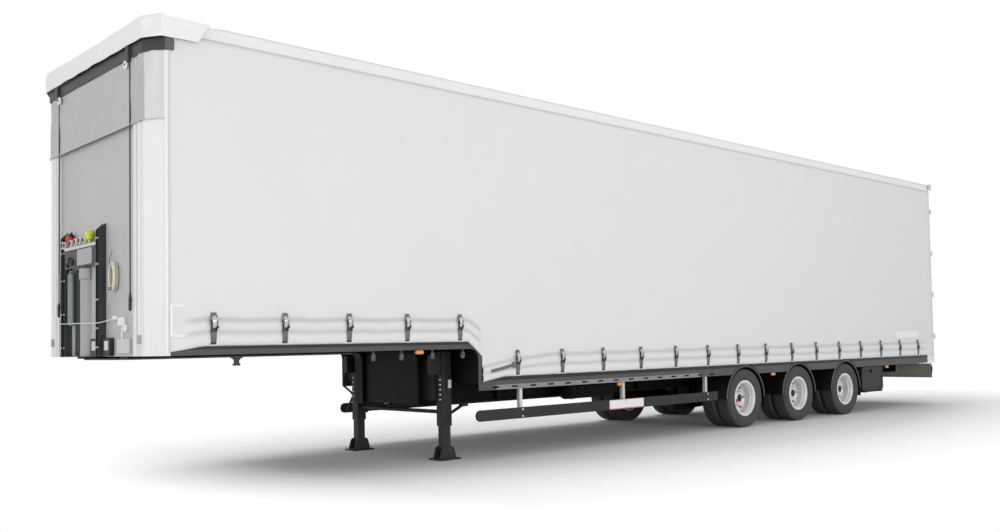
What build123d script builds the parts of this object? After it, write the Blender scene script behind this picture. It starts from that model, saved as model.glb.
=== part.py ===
"""Step-frame curtain-side semi trailer, in millimetres.

+X is forward, +Y is left, +Z is up. The origin lies on the ground under the
middle of the bounding box. The trailer stands on its landing legs and wheels.
"""
import os
from math import cos, hypot, radians, sin, sqrt

from build123d import *

os.makedirs("parts", exist_ok=True)

# Overall envelope
LENGTH = 13620
WIDTH = 2550
FRONT = LENGTH / 2
HALF_W = WIDTH / 2

# Clearances
RUN_GAP = 0.3
DOOR_GAP = 9
SWING_GAP = 10

# Floor levels and thicknesses
LOW_FLOOR = 890
HIGH_FLOOR = 1290
FLOOR_T = 28
LOW_CROSS_H = 90
HIGH_CROSS_H = 60
STEP_BACK = 3320
STEP_X = FRONT - STEP_BACK
STEP_T = 30

# Side planes, from the outside in
BUCKLE_T = 26
CURTAIN_T = 6
CURTAIN_GAP = 3
SIDE_Y = HALF_W - BUCKLE_T - CURTAIN_T - CURTAIN_GAP
CURTAIN_Y = SIDE_Y + CURTAIN_GAP

# Roof and front levels
ROOF_TOP = 3795
ROOF_CROWN = 40
ROOF_EDGE = ROOF_TOP - ROOF_CROWN
CANTRAIL_H = 95
CURTAIN_TOP = ROOF_EDGE - CANTRAIL_H
CAP_DROP = 150
HEADER_TOP = ROOF_EDGE - CAP_DROP
HEADER_H = 95
HEADER_BOTTOM = HEADER_TOP - HEADER_H
FLAP_H = 540
FLAP_BOTTOM = HEADER_BOTTOM - FLAP_H
FRONT_BOTTOM = 1120

# Front corner, as the outside of the corner posts
CAP_OUT = 35
HEADER_OUT = 15
POST_FACE = FRONT - CAP_OUT
CORNER_RUN = 95
CORNER_SIDE = 170

# Rear portal
DOOR_SPACE = 80
PORTAL_REAR = DOOR_SPACE - FRONT
PORTAL_DEPTH = 80
PORTAL_FRONT = PORTAL_REAR + PORTAL_DEPTH
PORTAL_POST_W = 60
PORTAL_HEADER_H = 215

# Main beams
BEAM_Y = 500
FLANGE_W = 140
FLANGE_T = 16
WEB_T = 12
BEAM_BOTTOM = 540
GOOSE_BACK = 3020
GOOSE_FRONT = FRONT - GOOSE_BACK
GOOSE_R = 100
TOE_R = 30
STIFFENER_T = 10
COUPLER_T = 12
COUPLER_BOTTOM = 1090
COUPLER_L = 2170
LOW_BEAM_TOP = LOW_FLOOR - FLOOR_T - LOW_CROSS_H
HIGH_BEAM_TOP = HIGH_FLOOR - FLOOR_T - HIGH_CROSS_H
NECK_BOTTOM = COUPLER_BOTTOM + COUPLER_T

# Front wall
WALL_T = 40
WALL_RECESS = 25
WALL_FACE = POST_FACE - WALL_RECESS
WALL_BACK = WALL_FACE - WALL_T
WALL_HALF = 860
POST_TAIL = 40
POST_BACK = POST_FACE - CORNER_RUN - POST_TAIL
NECK_FRONT = WALL_BACK

# Outer rails
RAIL_W = 50
RAIL_T = 8
LOW_RAIL_BOTTOM = 700
HIGH_RAIL_BOTTOM = 1120
GUSSET_L = 160
GUSSET_R = 105
RISER_W = 42
HIGH_RAIL_REAR = STEP_X + GUSSET_L
RAIL_IN = SIDE_Y - RAIL_W

# Wheels and axles
TYRE_R = 383.5
TYRE_W = 215
RIM_R = 222
RIM_HALF = 76
RIM_LIP = 235
LIP_T = 11.5
DUAL_PITCH = 245
AXLE_PITCH = 1310
REAR_OVERHANG = 3120
REAR_AXLE = REAR_OVERHANG - FRONT
AXLE_X = (REAR_AXLE + 2 * AXLE_PITCH, REAR_AXLE + AXLE_PITCH, REAR_AXLE)
AXLE_R = 63.5
SPINDLE_R = 38
WHEEL_Y = SIDE_Y - TYRE_W / 2 - DUAL_PITCH / 2
HUB_R = 85
HUB_END = 120
HUB_BACK = -150
SPINDLE_END = 60
DRUM_R = 188
DRUM_BACK = -250
ARCH_R = 445
GUARD_R = 425
GUARD_T = 6

# Suspension
ARM_HALF = 45
ARM_H = 58
ARM_FRONT = 520
ARM_REAR = 410
PIVOT_OUT = 470
BAG_OUT = 320
BAG_R = 105

# Landing gear
LEG_BACK = 3200
LEG_X = FRONT - LEG_BACK
LEG_Y = 775
LEG_TUBE = 115
LEG_INNER = 95
LEG_TOP = 1095
LEG_SPLIT = 340
FOOT_L = 285
FOOT_W = 225

# Rear doors
DOOR_T = 35
DOOR_PROUD = 7
HINGE_X = PORTAL_REAR - 28
HINGE_Y = SIDE_Y + 6
HINGE_R = 8
KNUCKLE_R = 16
HINGE_COUNT = 4
HINGE_UP = 260
HINGE_DOWN = 240
LUG_T = 12
KNUCKLE_H = 60
BAR_R = 17

# Toolbox behind the wheels
BOX_BEHIND = 491
BOX_L = 669
BOX_FRONT = REAR_AXLE - BOX_BEHIND
BOX_REAR = BOX_FRONT - BOX_L
BOX_BOTTOM = 300
BOX_TOP = 690
BOX_IN = 840
BOX_LID_T = 15
BOX_WALL = 8
LID_AXIS_OUT = 8
LID_PIN_R = 5


def block(xs, ys, zs):
    """Adds a box that spans the given low and high values to the open part."""
    middle = Vector(sum(xs) / 2, sum(ys) / 2, sum(zs) / 2)
    with Locations(middle):
        Box(xs[1] - xs[0], ys[1] - ys[0], zs[1] - zs[0])


def rod(start, end, radius):
    """Adds a round rod from one point to another to the open part."""
    line = Vector(*end) - Vector(*start)
    with Locations(Plane(origin=start, z_dir=line)):
        Cylinder(radius, line.length, align=(Align.CENTER, Align.CENTER, Align.MIN))


def spread(first, last, count):
    """Gives evenly spaced values from the first to the last."""
    return [first + (last - first) * step / (count - 1) for step in range(count)]


def front_plan(out):
    """Gives the half plan of the front corner, moved outwards by out."""
    slant = hypot(CORNER_RUN, CORNER_SIDE)
    along_face = out * (slant - CORNER_SIDE) / CORNER_RUN
    along_side = out * (slant - CORNER_RUN) / CORNER_SIDE
    face_end = (POST_FACE + out, SIDE_Y - CORNER_SIDE + along_face)
    side_end = (POST_FACE - CORNER_RUN + along_side, SIDE_Y + out)
    return face_end, side_end


def front_band(out, depth, back):
    """Gives the closed plan of a band that wraps the whole front."""
    near = front_plan(out)
    inner = front_plan(out - depth)
    left = [(back, near[1][1]), near[1], near[0]]
    left_in = [inner[0], inner[1], (back, inner[1][1])]
    right = [(x, -y) for x, y in reversed(left)]
    right_in = [(x, -y) for x, y in reversed(left_in)]
    return left + right + right_in + left_in


def save(builder, name):
    """Labels a finished part and writes its file."""
    builder.part.label = name
    export_step(builder.part, f"parts/{name}.step")


# Frame beams, an outline with a web, flanges and stiffeners
BEAM_SIDE = [
    (PORTAL_FRONT, BEAM_BOTTOM),
    (GOOSE_FRONT, BEAM_BOTTOM),
    (GOOSE_FRONT, NECK_BOTTOM),
    (NECK_FRONT, NECK_BOTTOM),
    (NECK_FRONT, HIGH_BEAM_TOP),
    (STEP_X, HIGH_BEAM_TOP),
    (STEP_X, LOW_BEAM_TOP),
    (PORTAL_FRONT, LOW_BEAM_TOP),
]
GOOSE_BENDS = ((BEAM_BOTTOM, TOE_R), (NECK_BOTTOM, GOOSE_R))
BAY = STEP_X - AXLE_X[0]
STIFFENER_X = spread(STEP_X - 0.175 * BAY, AXLE_X[0] + 0.305 * BAY, 3)
STIFFENER_X += spread(REAR_AXLE - 1000, PORTAL_FRONT + 900, 2)
with BuildPart() as main_beams:
    with BuildSketch(Plane.XZ.offset(-BEAM_Y)) as beam_side:
        with BuildLine():
            Polyline(*BEAM_SIDE, close=True)
        make_face()
        for height, radius in GOOSE_BENDS:
            fillet(beam_side.vertices().sort_by_distance((GOOSE_FRONT, height))[0], radius)
    extrude(amount=FLANGE_W / 2, both=True)
    for side in (1, -1):
        with BuildSketch(Plane.XZ.offset(-BEAM_Y - side * WEB_T / 2)) as pocket:
            with BuildLine():
                Polyline(*BEAM_SIDE, close=True)
            make_face()
            for height, radius in GOOSE_BENDS:
                fillet(pocket.vertices().sort_by_distance((GOOSE_FRONT, height))[0], radius)
            offset(amount=-FLANGE_T, kind=Kind.INTERSECTION, mode=Mode.REPLACE)
        extrude(amount=-side * FLANGE_W, mode=Mode.SUBTRACT)
    for x in STIFFENER_X:
        block(
            (x - STIFFENER_T / 2, x + STIFFENER_T / 2),
            (BEAM_Y - FLANGE_W / 2 + FLANGE_T, BEAM_Y + FLANGE_W / 2 - FLANGE_T),
            (BEAM_BOTTOM, LOW_BEAM_TOP),
        )
    mirror(about=Plane.XZ)
save(main_beams, "main_beams")

# Cross members, channels from rail to rail, with the knee plates at the step
CROSS_IN = 325
LOW_CROSS_X = spread(AXLE_X[0] + AXLE_PITCH / 4, STEP_X - CROSS_IN, 7)
LOW_CROSS_X += spread(AXLE_X[0] - AXLE_PITCH / 4, REAR_AXLE + AXLE_PITCH / 4, 4)
LOW_CROSS_X += spread(REAR_AXLE - AXLE_PITCH / 4, PORTAL_FRONT + CROSS_IN, 5)
HIGH_CROSS_X = spread(STEP_X + CROSS_IN, WALL_BACK - CROSS_IN, 6)
CROSS_W = 60
CROSS_T = 7
CROSS_ROWS = [(x, LOW_BEAM_TOP, LOW_CROSS_H) for x in LOW_CROSS_X]
CROSS_ROWS += [(x, HIGH_BEAM_TOP, HIGH_CROSS_H) for x in HIGH_CROSS_X]
KNEE_X = GOOSE_FRONT - FLANGE_T - CROSS_W / 2 - 20
KNEE_Z = (BEAM_BOTTOM + FLANGE_T, HIGH_BEAM_TOP - FLANGE_T)
BEAM_OUT = BEAM_Y + FLANGE_W / 2
BEAM_IN = BEAM_Y - FLANGE_W / 2
STEP_SHEETS = [(-RAIL_IN, -BEAM_OUT), (-BEAM_IN, BEAM_IN), (BEAM_OUT, RAIL_IN)]
with BuildPart() as cross_members:
    with BuildSketch(Plane.XZ):
        for x, bottom, height in CROSS_ROWS:
            with Locations((x, bottom + height / 2)):
                Rectangle(CROSS_W, height)
            with Locations((x + CROSS_T, bottom + height / 2)):
                Rectangle(CROSS_W, height - 2 * CROSS_T, mode=Mode.SUBTRACT)
    extrude(amount=SIDE_Y - RAIL_T, both=True)
    with BuildSketch(Plane.XZ):
        with Locations((KNEE_X, (KNEE_Z[0] + KNEE_Z[1]) / 2)):
            Rectangle(CROSS_W, KNEE_Z[1] - KNEE_Z[0])
        with Locations((KNEE_X - CROSS_T, (KNEE_Z[0] + KNEE_Z[1]) / 2)):
            Rectangle(CROSS_W, KNEE_Z[1] - KNEE_Z[0] - 2 * CROSS_T, mode=Mode.SUBTRACT)
    extrude(amount=BEAM_Y - WEB_T / 2, both=True)
    for low, high in STEP_SHEETS:
        block((STEP_X, STEP_X + CROSS_T), (low, high), (LOW_BEAM_TOP, HIGH_BEAM_TOP))
save(cross_members, "cross_members")

# Coupling plate under the neck, with its pin
KINGPIN_BACK = 1336
KINGPIN_X = FRONT - KINGPIN_BACK
PIN_HEAD_R = 57
PIN_COLLAR_R = 36.5
PIN_GROOVE_R = 25.4
PIN_FOOT_R = 35.75
PIN_LEVELS = (0, 14, 30, 64, 84)
PLATE_CUT = 160
with BuildPart() as coupler_plate:
    with BuildSketch(Plane.XY.offset(COUPLER_BOTTOM)) as plate_plan:
        plate_rear = NECK_FRONT - COUPLER_L
        with Locations(((plate_rear + NECK_FRONT) / 2, 0)):
            Rectangle(NECK_FRONT - plate_rear, 2 * BEAM_Y + FLANGE_W)
        chamfer(plate_plan.vertices().group_by(Axis.X)[-1], PLATE_CUT)
    extrude(amount=COUPLER_T)
save(coupler_plate, "coupler_plate")

with BuildPart() as kingpin:
    with BuildSketch(Plane.XZ):
        for step, radius in enumerate((PIN_HEAD_R, PIN_COLLAR_R, PIN_GROOVE_R, PIN_FOOT_R)):
            high, low = COUPLER_BOTTOM - PIN_LEVELS[step], COUPLER_BOTTOM - PIN_LEVELS[step + 1]
            with Locations((KINGPIN_X + radius / 2, (high + low) / 2)):
                Rectangle(radius, high - low)
    revolve(axis=Axis((KINGPIN_X, 0, 0), (0, 0, 1)))
save(kingpin, "kingpin")

# Outer rails, channels open to the inside, notched over the wheels
RAIL_RUNS = [
    (PORTAL_FRONT, STEP_X, LOW_RAIL_BOTTOM, LOW_FLOOR),
    (HIGH_RAIL_REAR, POST_BACK, HIGH_RAIL_BOTTOM, HIGH_FLOOR),
]
SLOT_PITCH = 260
SLOT_L = 90
SLOT_H = 16
SLOT_UP = 26
SLOT_IN = 180
SLOT_COUNT = int((STEP_X - SLOT_IN - AXLE_X[0] - ARCH_R - SLOT_L) / SLOT_PITCH) + 1
SLOT_X = [STEP_X - SLOT_IN - step * SLOT_PITCH for step in range(SLOT_COUNT)]
with BuildPart() as outer_rails:
    for start, end, bottom, top in RAIL_RUNS:
        with BuildSketch(Plane.YZ.offset(start)):
            with Locations((SIDE_Y - RAIL_W / 2, (bottom + top) / 2)):
                Rectangle(RAIL_W, top - bottom)
            with Locations((SIDE_Y - RAIL_W / 2 - RAIL_T, (bottom + top) / 2)):
                Rectangle(RAIL_W, top - bottom - 2 * RAIL_T, mode=Mode.SUBTRACT)
        extrude(amount=end - start)
    block((STEP_X - RAIL_W, STEP_X), (RAIL_IN, SIDE_Y), (LOW_FLOOR, HIGH_FLOOR))
    with BuildSketch(Plane.XZ.offset(-SIDE_Y)) as riser:
        with BuildLine():
            Polyline(
                (STEP_X, LOW_RAIL_BOTTOM),
                (STEP_X + RISER_W, LOW_RAIL_BOTTOM),
                (STEP_X + RISER_W, HIGH_RAIL_BOTTOM),
                (HIGH_RAIL_REAR, HIGH_RAIL_BOTTOM),
                (HIGH_RAIL_REAR, HIGH_FLOOR),
                (STEP_X, HIGH_FLOOR),
                close=True,
            )
        make_face()
        inner_corner = riser.vertices().sort_by_distance((STEP_X + RISER_W, HIGH_RAIL_BOTTOM))[0]
        fillet(inner_corner, GUSSET_R)
    extrude(amount=RAIL_T)
    for x in SLOT_X:
        with Locations((x, SIDE_Y - RAIL_T / 2, LOW_RAIL_BOTTOM + SLOT_UP)):
            Box(SLOT_L, 2 * RAIL_T, SLOT_H, mode=Mode.SUBTRACT)
    for axle in AXLE_X:
        arch = Plane(origin=(axle, SIDE_Y - RAIL_W / 2, TYRE_R), z_dir=(0, 1, 0))
        with Locations(arch):
            Cylinder(ARCH_R, RAIL_W * 2, mode=Mode.SUBTRACT)
    mirror(about=Plane.XZ)
save(outer_rails, "outer_rails")

# Deck, one stepped floor
with BuildPart() as deck:
    block((PORTAL_FRONT, STEP_X), (-RAIL_IN, RAIL_IN), (LOW_FLOOR - FLOOR_T, LOW_FLOOR))
    block((STEP_X - STEP_T, STEP_X), (-RAIL_IN, RAIL_IN), (LOW_FLOOR, HIGH_FLOOR))
    block((STEP_X, POST_BACK), (-RAIL_IN, RAIL_IN), (HIGH_FLOOR - FLOOR_T, HIGH_FLOOR))
    block((POST_BACK, WALL_BACK), (-WALL_HALF, WALL_HALF), (HIGH_FLOOR - FLOOR_T, HIGH_FLOOR))
save(deck, "deck")

# Front wall with its hook for the coil
HOOK_Y = 440
HOOK_Z = 1850
HOOK_R = 9
HOOK_L = 58
with BuildPart() as front_wall:
    block((WALL_BACK, WALL_FACE), (-WALL_HALF, WALL_HALF), (FRONT_BOTTOM, HEADER_BOTTOM))
    rod((WALL_FACE, HOOK_Y, HOOK_Z), (WALL_FACE + HOOK_L, HOOK_Y, HOOK_Z), HOOK_R)
    hook_tip = WALL_FACE + HOOK_L - HOOK_R
    rod((hook_tip, HOOK_Y, HOOK_Z), (hook_tip, HOOK_Y, HOOK_Z + 30), HOOK_R)
save(front_wall, "front_wall")

# Corner posts with a slanted outer face
POST_T = 36
POST_GROOVE_Y = (905, 950, 995)
POST_GROOVE_W = 14
POST_GROOVE_D = 8
post_face, post_side = front_plan(0)
post_in, post_in_side = front_plan(-POST_T)
with BuildPart() as front_posts:
    with BuildSketch(Plane.XY.offset(FRONT_BOTTOM)):
        with BuildLine():
            Polyline(
                (POST_FACE, WALL_HALF),
                post_face,
                post_side,
                (POST_BACK, SIDE_Y),
                (POST_BACK, SIDE_Y - POST_T),
                post_in_side,
                post_in,
                (POST_FACE - POST_T, WALL_HALF + POST_T),
                (WALL_BACK, WALL_HALF + POST_T),
                (WALL_BACK, WALL_HALF),
                close=True,
            )
        make_face()
        for y in POST_GROOVE_Y:
            with Locations((POST_FACE, y)):
                Rectangle(2 * POST_GROOVE_D, POST_GROOVE_W, mode=Mode.SUBTRACT)
    extrude(amount=HEADER_BOTTOM - FRONT_BOTTOM)
    mirror(about=Plane.XZ)
save(front_posts, "front_posts")

# Header bar around the front, with arms up to the roof rails
HEADER_T = 40
HEADER_REAR = POST_BACK + 22
ARM_L = 18
with BuildPart() as front_header:
    with BuildSketch(Plane.XY.offset(HEADER_BOTTOM)):
        with BuildLine():
            Polyline(*front_band(HEADER_OUT, HEADER_T, HEADER_REAR), close=True)
        make_face()
    extrude(amount=HEADER_TOP - HEADER_BOTTOM)
    for side in (1, -1):
        inner = sorted((side * (SIDE_Y - HEADER_T + HEADER_OUT), side * (SIDE_Y - CURTAIN_GAP)))
        block((HEADER_REAR, HEADER_REAR + ARM_L), inner, (HEADER_TOP, CURTAIN_TOP))
save(front_header, "front_header")

# Cloth flap under the header
FLAP_T = 6
FLAP_REAR = POST_BACK + 20
FLAP_GAP = 1
with BuildPart() as front_flap:
    with BuildSketch(Plane.XY.offset(FLAP_BOTTOM)):
        with BuildLine():
            Polyline(*front_band(FLAP_GAP + FLAP_T, FLAP_T, FLAP_REAR), close=True)
        make_face()
    extrude(amount=HEADER_BOTTOM - FLAP_BOTTOM)
save(front_flap, "front_flap")

# Roof cap over the front
CAP_T = 25
CAP_TOP_T = 12
CAP_L = 500
CAP_REAR = FRONT - CAP_L
CAP_SLANT = 110
with BuildPart() as roof_cap:
    cap_outer, cap_inner = front_plan(CAP_OUT), front_plan(CAP_OUT - CAP_T)
    with BuildSketch(Plane.XY.offset(ROOF_TOP - CAP_TOP_T)):
        with BuildLine():
            left = [(CAP_REAR, cap_outer[1][1]), cap_outer[1], cap_outer[0]]
            Polyline(*left, *[(x, -y) for x, y in reversed(left)], close=True)
        make_face()
    extrude(amount=CAP_TOP_T)
    with BuildSketch(Plane.XY.offset(HEADER_TOP)):
        with BuildLine():
            Polyline(*front_band(CAP_OUT, CAP_T, CAP_REAR), close=True)
        make_face()
    extrude(amount=ROOF_TOP - CAP_TOP_T - HEADER_TOP)
    with BuildSketch(Plane.XZ):
        with BuildLine():
            Polyline(
                (CAP_REAR, HEADER_TOP),
                (CAP_REAR + CAP_SLANT, HEADER_TOP),
                (CAP_REAR, ROOF_TOP - CAP_TOP_T),
                close=True,
            )
        make_face()
    extrude(amount=HALF_W, both=True, mode=Mode.SUBTRACT)
save(roof_cap, "roof_cap")

# Roof rails, bows and roof sheet
CANTRAIL_OUT = SIDE_Y + CAP_OUT - CAP_T
CANTRAIL_W = 55
TARP_T = 6
BOW_H = 50
BOW_W = 40
BOW_DOWN = 65
BOW_Z = ROOF_EDGE - BOW_DOWN
BOW_IN = 650
BOW_X = spread(PORTAL_FRONT + BOW_IN, CAP_REAR - BOW_IN / 2, 10)
RAIL_GROOVE = 6
TRACK_W = 22
TRACK_H = 45
with BuildPart() as cantrails:
    with BuildSketch(Plane.YZ.offset(PORTAL_FRONT)):
        with Locations((CANTRAIL_OUT - CANTRAIL_W / 2, ROOF_EDGE - CANTRAIL_H / 2)):
            Rectangle(CANTRAIL_W, CANTRAIL_H)
        with Locations((CANTRAIL_OUT - CANTRAIL_W / 2, CURTAIN_TOP + TRACK_H / 2)):
            Rectangle(TRACK_W, TRACK_H, mode=Mode.SUBTRACT)
        for z in (CURTAIN_TOP + 2 * RAIL_GROOVE, ROOF_EDGE - 2 * RAIL_GROOVE):
            with Locations((CANTRAIL_OUT, z)):
                Rectangle(RAIL_GROOVE, RAIL_GROOVE, mode=Mode.SUBTRACT)
    extrude(amount=HEADER_REAR + ARM_L - PORTAL_FRONT)
    mirror(about=Plane.XZ)
save(cantrails, "cantrails")

with BuildPart() as roof_bows:
    bow_end = CANTRAIL_OUT - CANTRAIL_W
    for x in BOW_X:
        block((x - BOW_W / 2, x + BOW_W / 2), (-bow_end, bow_end), (BOW_Z, BOW_Z + BOW_H))
save(roof_bows, "roof_bows")

with BuildPart() as roof_tarp:
    with BuildSketch(Plane.YZ.offset(PORTAL_REAR)):
        with BuildLine():
            under = ThreePointArc(
                (-CANTRAIL_OUT, ROOF_EDGE), (0, ROOF_TOP - TARP_T), (CANTRAIL_OUT, ROOF_EDGE)
            )
            over = ThreePointArc(
                (-CANTRAIL_OUT, ROOF_EDGE + TARP_T), (0, ROOF_TOP), (CANTRAIL_OUT, ROOF_EDGE + TARP_T)
            )
            Line(under @ 0, over @ 0)
            Line(under @ 1, over @ 1)
        make_face()
    extrude(amount=CAP_REAR - PORTAL_REAR)
save(roof_tarp, "roof_tarp")

# Side posts that carry the roof rails, channels open to the inside
SIDE_POST_L = 100
SIDE_POST_X = spread(STEP_X - STEP_T - 1.3 * SIDE_POST_L, REAR_AXLE + 360, 3)
SIDE_POST_OUT = SIDE_Y - 5
SIDE_POST_W = 70
SIDE_POST_T = 6
with BuildPart() as side_posts:
    with BuildSketch(Plane.XY.offset(LOW_FLOOR)):
        for x in SIDE_POST_X:
            with Locations((x, SIDE_POST_OUT - SIDE_POST_W / 2)):
                Rectangle(SIDE_POST_L, SIDE_POST_W)
            with Locations((x, SIDE_POST_OUT - SIDE_POST_W / 2 - SIDE_POST_T)):
                Rectangle(SIDE_POST_L - 2 * SIDE_POST_T, SIDE_POST_W, mode=Mode.SUBTRACT)
    extrude(amount=CURTAIN_TOP - LOW_FLOOR)
    mirror(about=Plane.XZ)
save(side_posts, "side_posts")

# Rear portal with its hinge pins
DOORWAY_HALF = SIDE_Y - PORTAL_POST_W
DOORWAY_TOP = ROOF_EDGE - PORTAL_HEADER_H
HINGE_Z = spread(LOW_FLOOR + HINGE_UP, DOORWAY_TOP - HINGE_DOWN, HINGE_COUNT)
ROOF_RISE = ROOF_TOP - TARP_T - ROOF_EDGE
ROOF_R = (CANTRAIL_OUT**2 + ROOF_RISE**2) / (2 * ROOF_RISE)
PORTAL_EDGE = ROOF_EDGE + ROOF_RISE - ROOF_R + sqrt(ROOF_R**2 - SIDE_Y**2)
with BuildPart() as rear_frame:
    with BuildSketch(Plane.YZ.offset(PORTAL_REAR)):
        with BuildLine():
            ThreePointArc((-SIDE_Y, PORTAL_EDGE), (0, ROOF_EDGE + ROOF_RISE), (SIDE_Y, PORTAL_EDGE))
            Polyline(
                (SIDE_Y, PORTAL_EDGE),
                (SIDE_Y, LOW_RAIL_BOTTOM),
                (-SIDE_Y, LOW_RAIL_BOTTOM),
                (-SIDE_Y, PORTAL_EDGE),
            )
        make_face()
        with Locations((0, (LOW_FLOOR + DOORWAY_TOP) / 2)):
            Rectangle(2 * DOORWAY_HALF, DOORWAY_TOP - LOW_FLOOR, mode=Mode.SUBTRACT)
    extrude(amount=PORTAL_DEPTH)
    for z in HINGE_Z:
        lug_half = KNUCKLE_H / 2 + 1
        for low in (z - lug_half - LUG_T, z + lug_half):
            block(
                (HINGE_X, PORTAL_REAR),
                (SIDE_Y - 12, HINGE_Y + HINGE_R + 6),
                (low, low + LUG_T),
            )
        rod((HINGE_X, HINGE_Y, z - lug_half - LUG_T), (HINGE_X, HINGE_Y, z + lug_half + LUG_T), HINGE_R)
    mirror(about=Plane.XZ)
save(rear_frame, "rear_frame")

# Rear doors with hinge straps
DOOR_OUT = PORTAL_REAR - DOOR_PROUD
STRAP_L = 260
STRAP_T = 8
DOOR_EDGE = DOORWAY_HALF - DOOR_GAP
DOOR_MIDDLE = DOOR_GAP / 2
GUIDE_IN = 70
GUIDE_Z = spread(LOW_FLOOR + GUIDE_IN, DOORWAY_TOP - GUIDE_IN, 4)
GUIDE_H = 50
PANEL_RIM = 30
PANEL_D = 6
PANEL_Y = (60, DOOR_EDGE - STRAP_L - PANEL_RIM)
for side, name in ((1, "door_left"), (-1, "door_right")):
    with BuildPart() as door:
        block(
            (DOOR_OUT, DOOR_OUT + DOOR_T),
            (DOOR_MIDDLE, DOOR_EDGE),
            (LOW_FLOOR + SWING_GAP, DOORWAY_TOP - SWING_GAP),
        )
        for z in HINGE_Z:
            strap_z = (z - KNUCKLE_H / 2, z + KNUCKLE_H / 2)
            block((DOOR_OUT - STRAP_T, DOOR_OUT), (DOOR_EDGE - STRAP_L, HINGE_Y), strap_z)
            rod((HINGE_X, HINGE_Y, strap_z[0]), (HINGE_X, HINGE_Y, strap_z[1]), KNUCKLE_R)
        for z in HINGE_Z:
            with Locations((HINGE_X, HINGE_Y, z)):
                Cylinder(HINGE_R + RUN_GAP, KNUCKLE_H, mode=Mode.SUBTRACT)
        for low, high in zip(GUIDE_Z, GUIDE_Z[1:]):
            panel = (0, (PANEL_Y[0] + PANEL_Y[1]) / 2, (low + high) / 2)
            with Locations((DOOR_OUT, panel[1], panel[2])):
                Box(
                    2 * PANEL_D,
                    PANEL_Y[1] - PANEL_Y[0],
                    high - low - GUIDE_H - 2 * PANEL_RIM,
                    mode=Mode.SUBTRACT,
                )
        if side < 0:
            mirror(about=Plane.XZ, mode=Mode.REPLACE)
    save(door, name)

# Lock bars on the doors
BAR_Y = (330, DOOR_EDGE - STRAP_L - 110)
BAR_X = DOOR_OUT - 8 - BAR_R
HANDLE_Z = 1450
HANDLE_L = 330
for side, name in ((1, "lock_bars_left"), (-1, "lock_bars_right")):
    with BuildPart() as bars:
        for y in BAR_Y:
            rod((BAR_X, y, LOW_FLOOR + 20), (BAR_X, y, DOORWAY_TOP - 20), BAR_R)
            for z in GUIDE_Z:
                block((BAR_X - BAR_R - 5, DOOR_OUT), (y - 30, y + 30), (z - GUIDE_H / 2, z + GUIDE_H / 2))
            block((BAR_X - BAR_R - 14, BAR_X), (y - 20, y + 20), (HANDLE_Z - 30, HANDLE_Z + 30))
            block(
                (BAR_X - BAR_R - 14, BAR_X - BAR_R - 4), (y - HANDLE_L, y), (HANDLE_Z - 12, HANDLE_Z + 12)
            )
        if side < 0:
            mirror(about=Plane.XZ, mode=Mode.REPLACE)
    save(bars, name)

# Curtains, one stepped sheet on each side
LOW_HEM = 830
HIGH_HEM = 1190
HEM_DIP = 45
HEM_RUN = 290
STEP_DIP = 150
CURTAIN_FRONT = POST_BACK + 20
CURTAIN_REAR = PORTAL_FRONT - 40
CURTAIN_STEP = [
    (CURTAIN_FRONT, HIGH_HEM - HEM_DIP),
    (CURTAIN_FRONT, CURTAIN_TOP),
    (CURTAIN_REAR, CURTAIN_TOP),
    (CURTAIN_REAR, LOW_HEM),
    (STEP_X - HEM_RUN, LOW_HEM),
    (STEP_X, LOW_HEM - HEM_DIP),
    (STEP_X, HIGH_HEM - STEP_DIP),
    (HIGH_RAIL_REAR + 20, HIGH_HEM),
    (CURTAIN_FRONT - HEM_RUN, HIGH_HEM),
]
for side, name in ((1, "curtain_left"), (-1, "curtain_right")):
    with BuildPart() as curtain:
        with BuildSketch(Plane.XZ.offset(-CURTAIN_Y)):
            with BuildLine():
                Polyline(*CURTAIN_STEP, close=True)
            make_face()
        extrude(amount=-CURTAIN_T)
        if side < 0:
            mirror(about=Plane.XZ, mode=Mode.REPLACE)
    save(curtain, name)

# Buckles and straps along the curtain hem
HIGH_BUCKLE_X = spread(CURTAIN_FRONT - 361, STEP_X + 288, 5)
LOW_BUCKLE_X = spread(STEP_X - 468, CURTAIN_REAR + 605, 15)
STRAP_HALF = 22
STRAP_THICK = 6
BUCKLE_HALF = 26
STRAP_FOOT = 12
STRAP_UP = 270
BUCKLE_UP = (30, 60, 170, 200)
SKIN = CURTAIN_Y + CURTAIN_T
BUCKLE_ROWS = [(x, HIGH_HEM) for x in HIGH_BUCKLE_X]
BUCKLE_ROWS += [(x, LOW_HEM) for x in LOW_BUCKLE_X]
with BuildPart() as curtain_buckles:
    for x, hem in BUCKLE_ROWS:
        strap_z = (hem + STRAP_FOOT, hem + STRAP_UP)
        block((x - STRAP_HALF, x + STRAP_HALF), (SKIN, SKIN + STRAP_THICK), strap_z)
        with BuildSketch(Plane.YZ.offset(x - BUCKLE_HALF)):
            with BuildLine():
                Polyline(
                    (SKIN + STRAP_THICK, hem + BUCKLE_UP[0]),
                    (HALF_W, hem + BUCKLE_UP[1]),
                    (HALF_W, hem + BUCKLE_UP[2]),
                    (SKIN + STRAP_THICK, hem + BUCKLE_UP[3]),
                    close=True,
                )
            make_face()
        extrude(amount=2 * BUCKLE_HALF)
    mirror(about=Plane.XZ)
save(curtain_buckles, "curtain_buckles")

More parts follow.
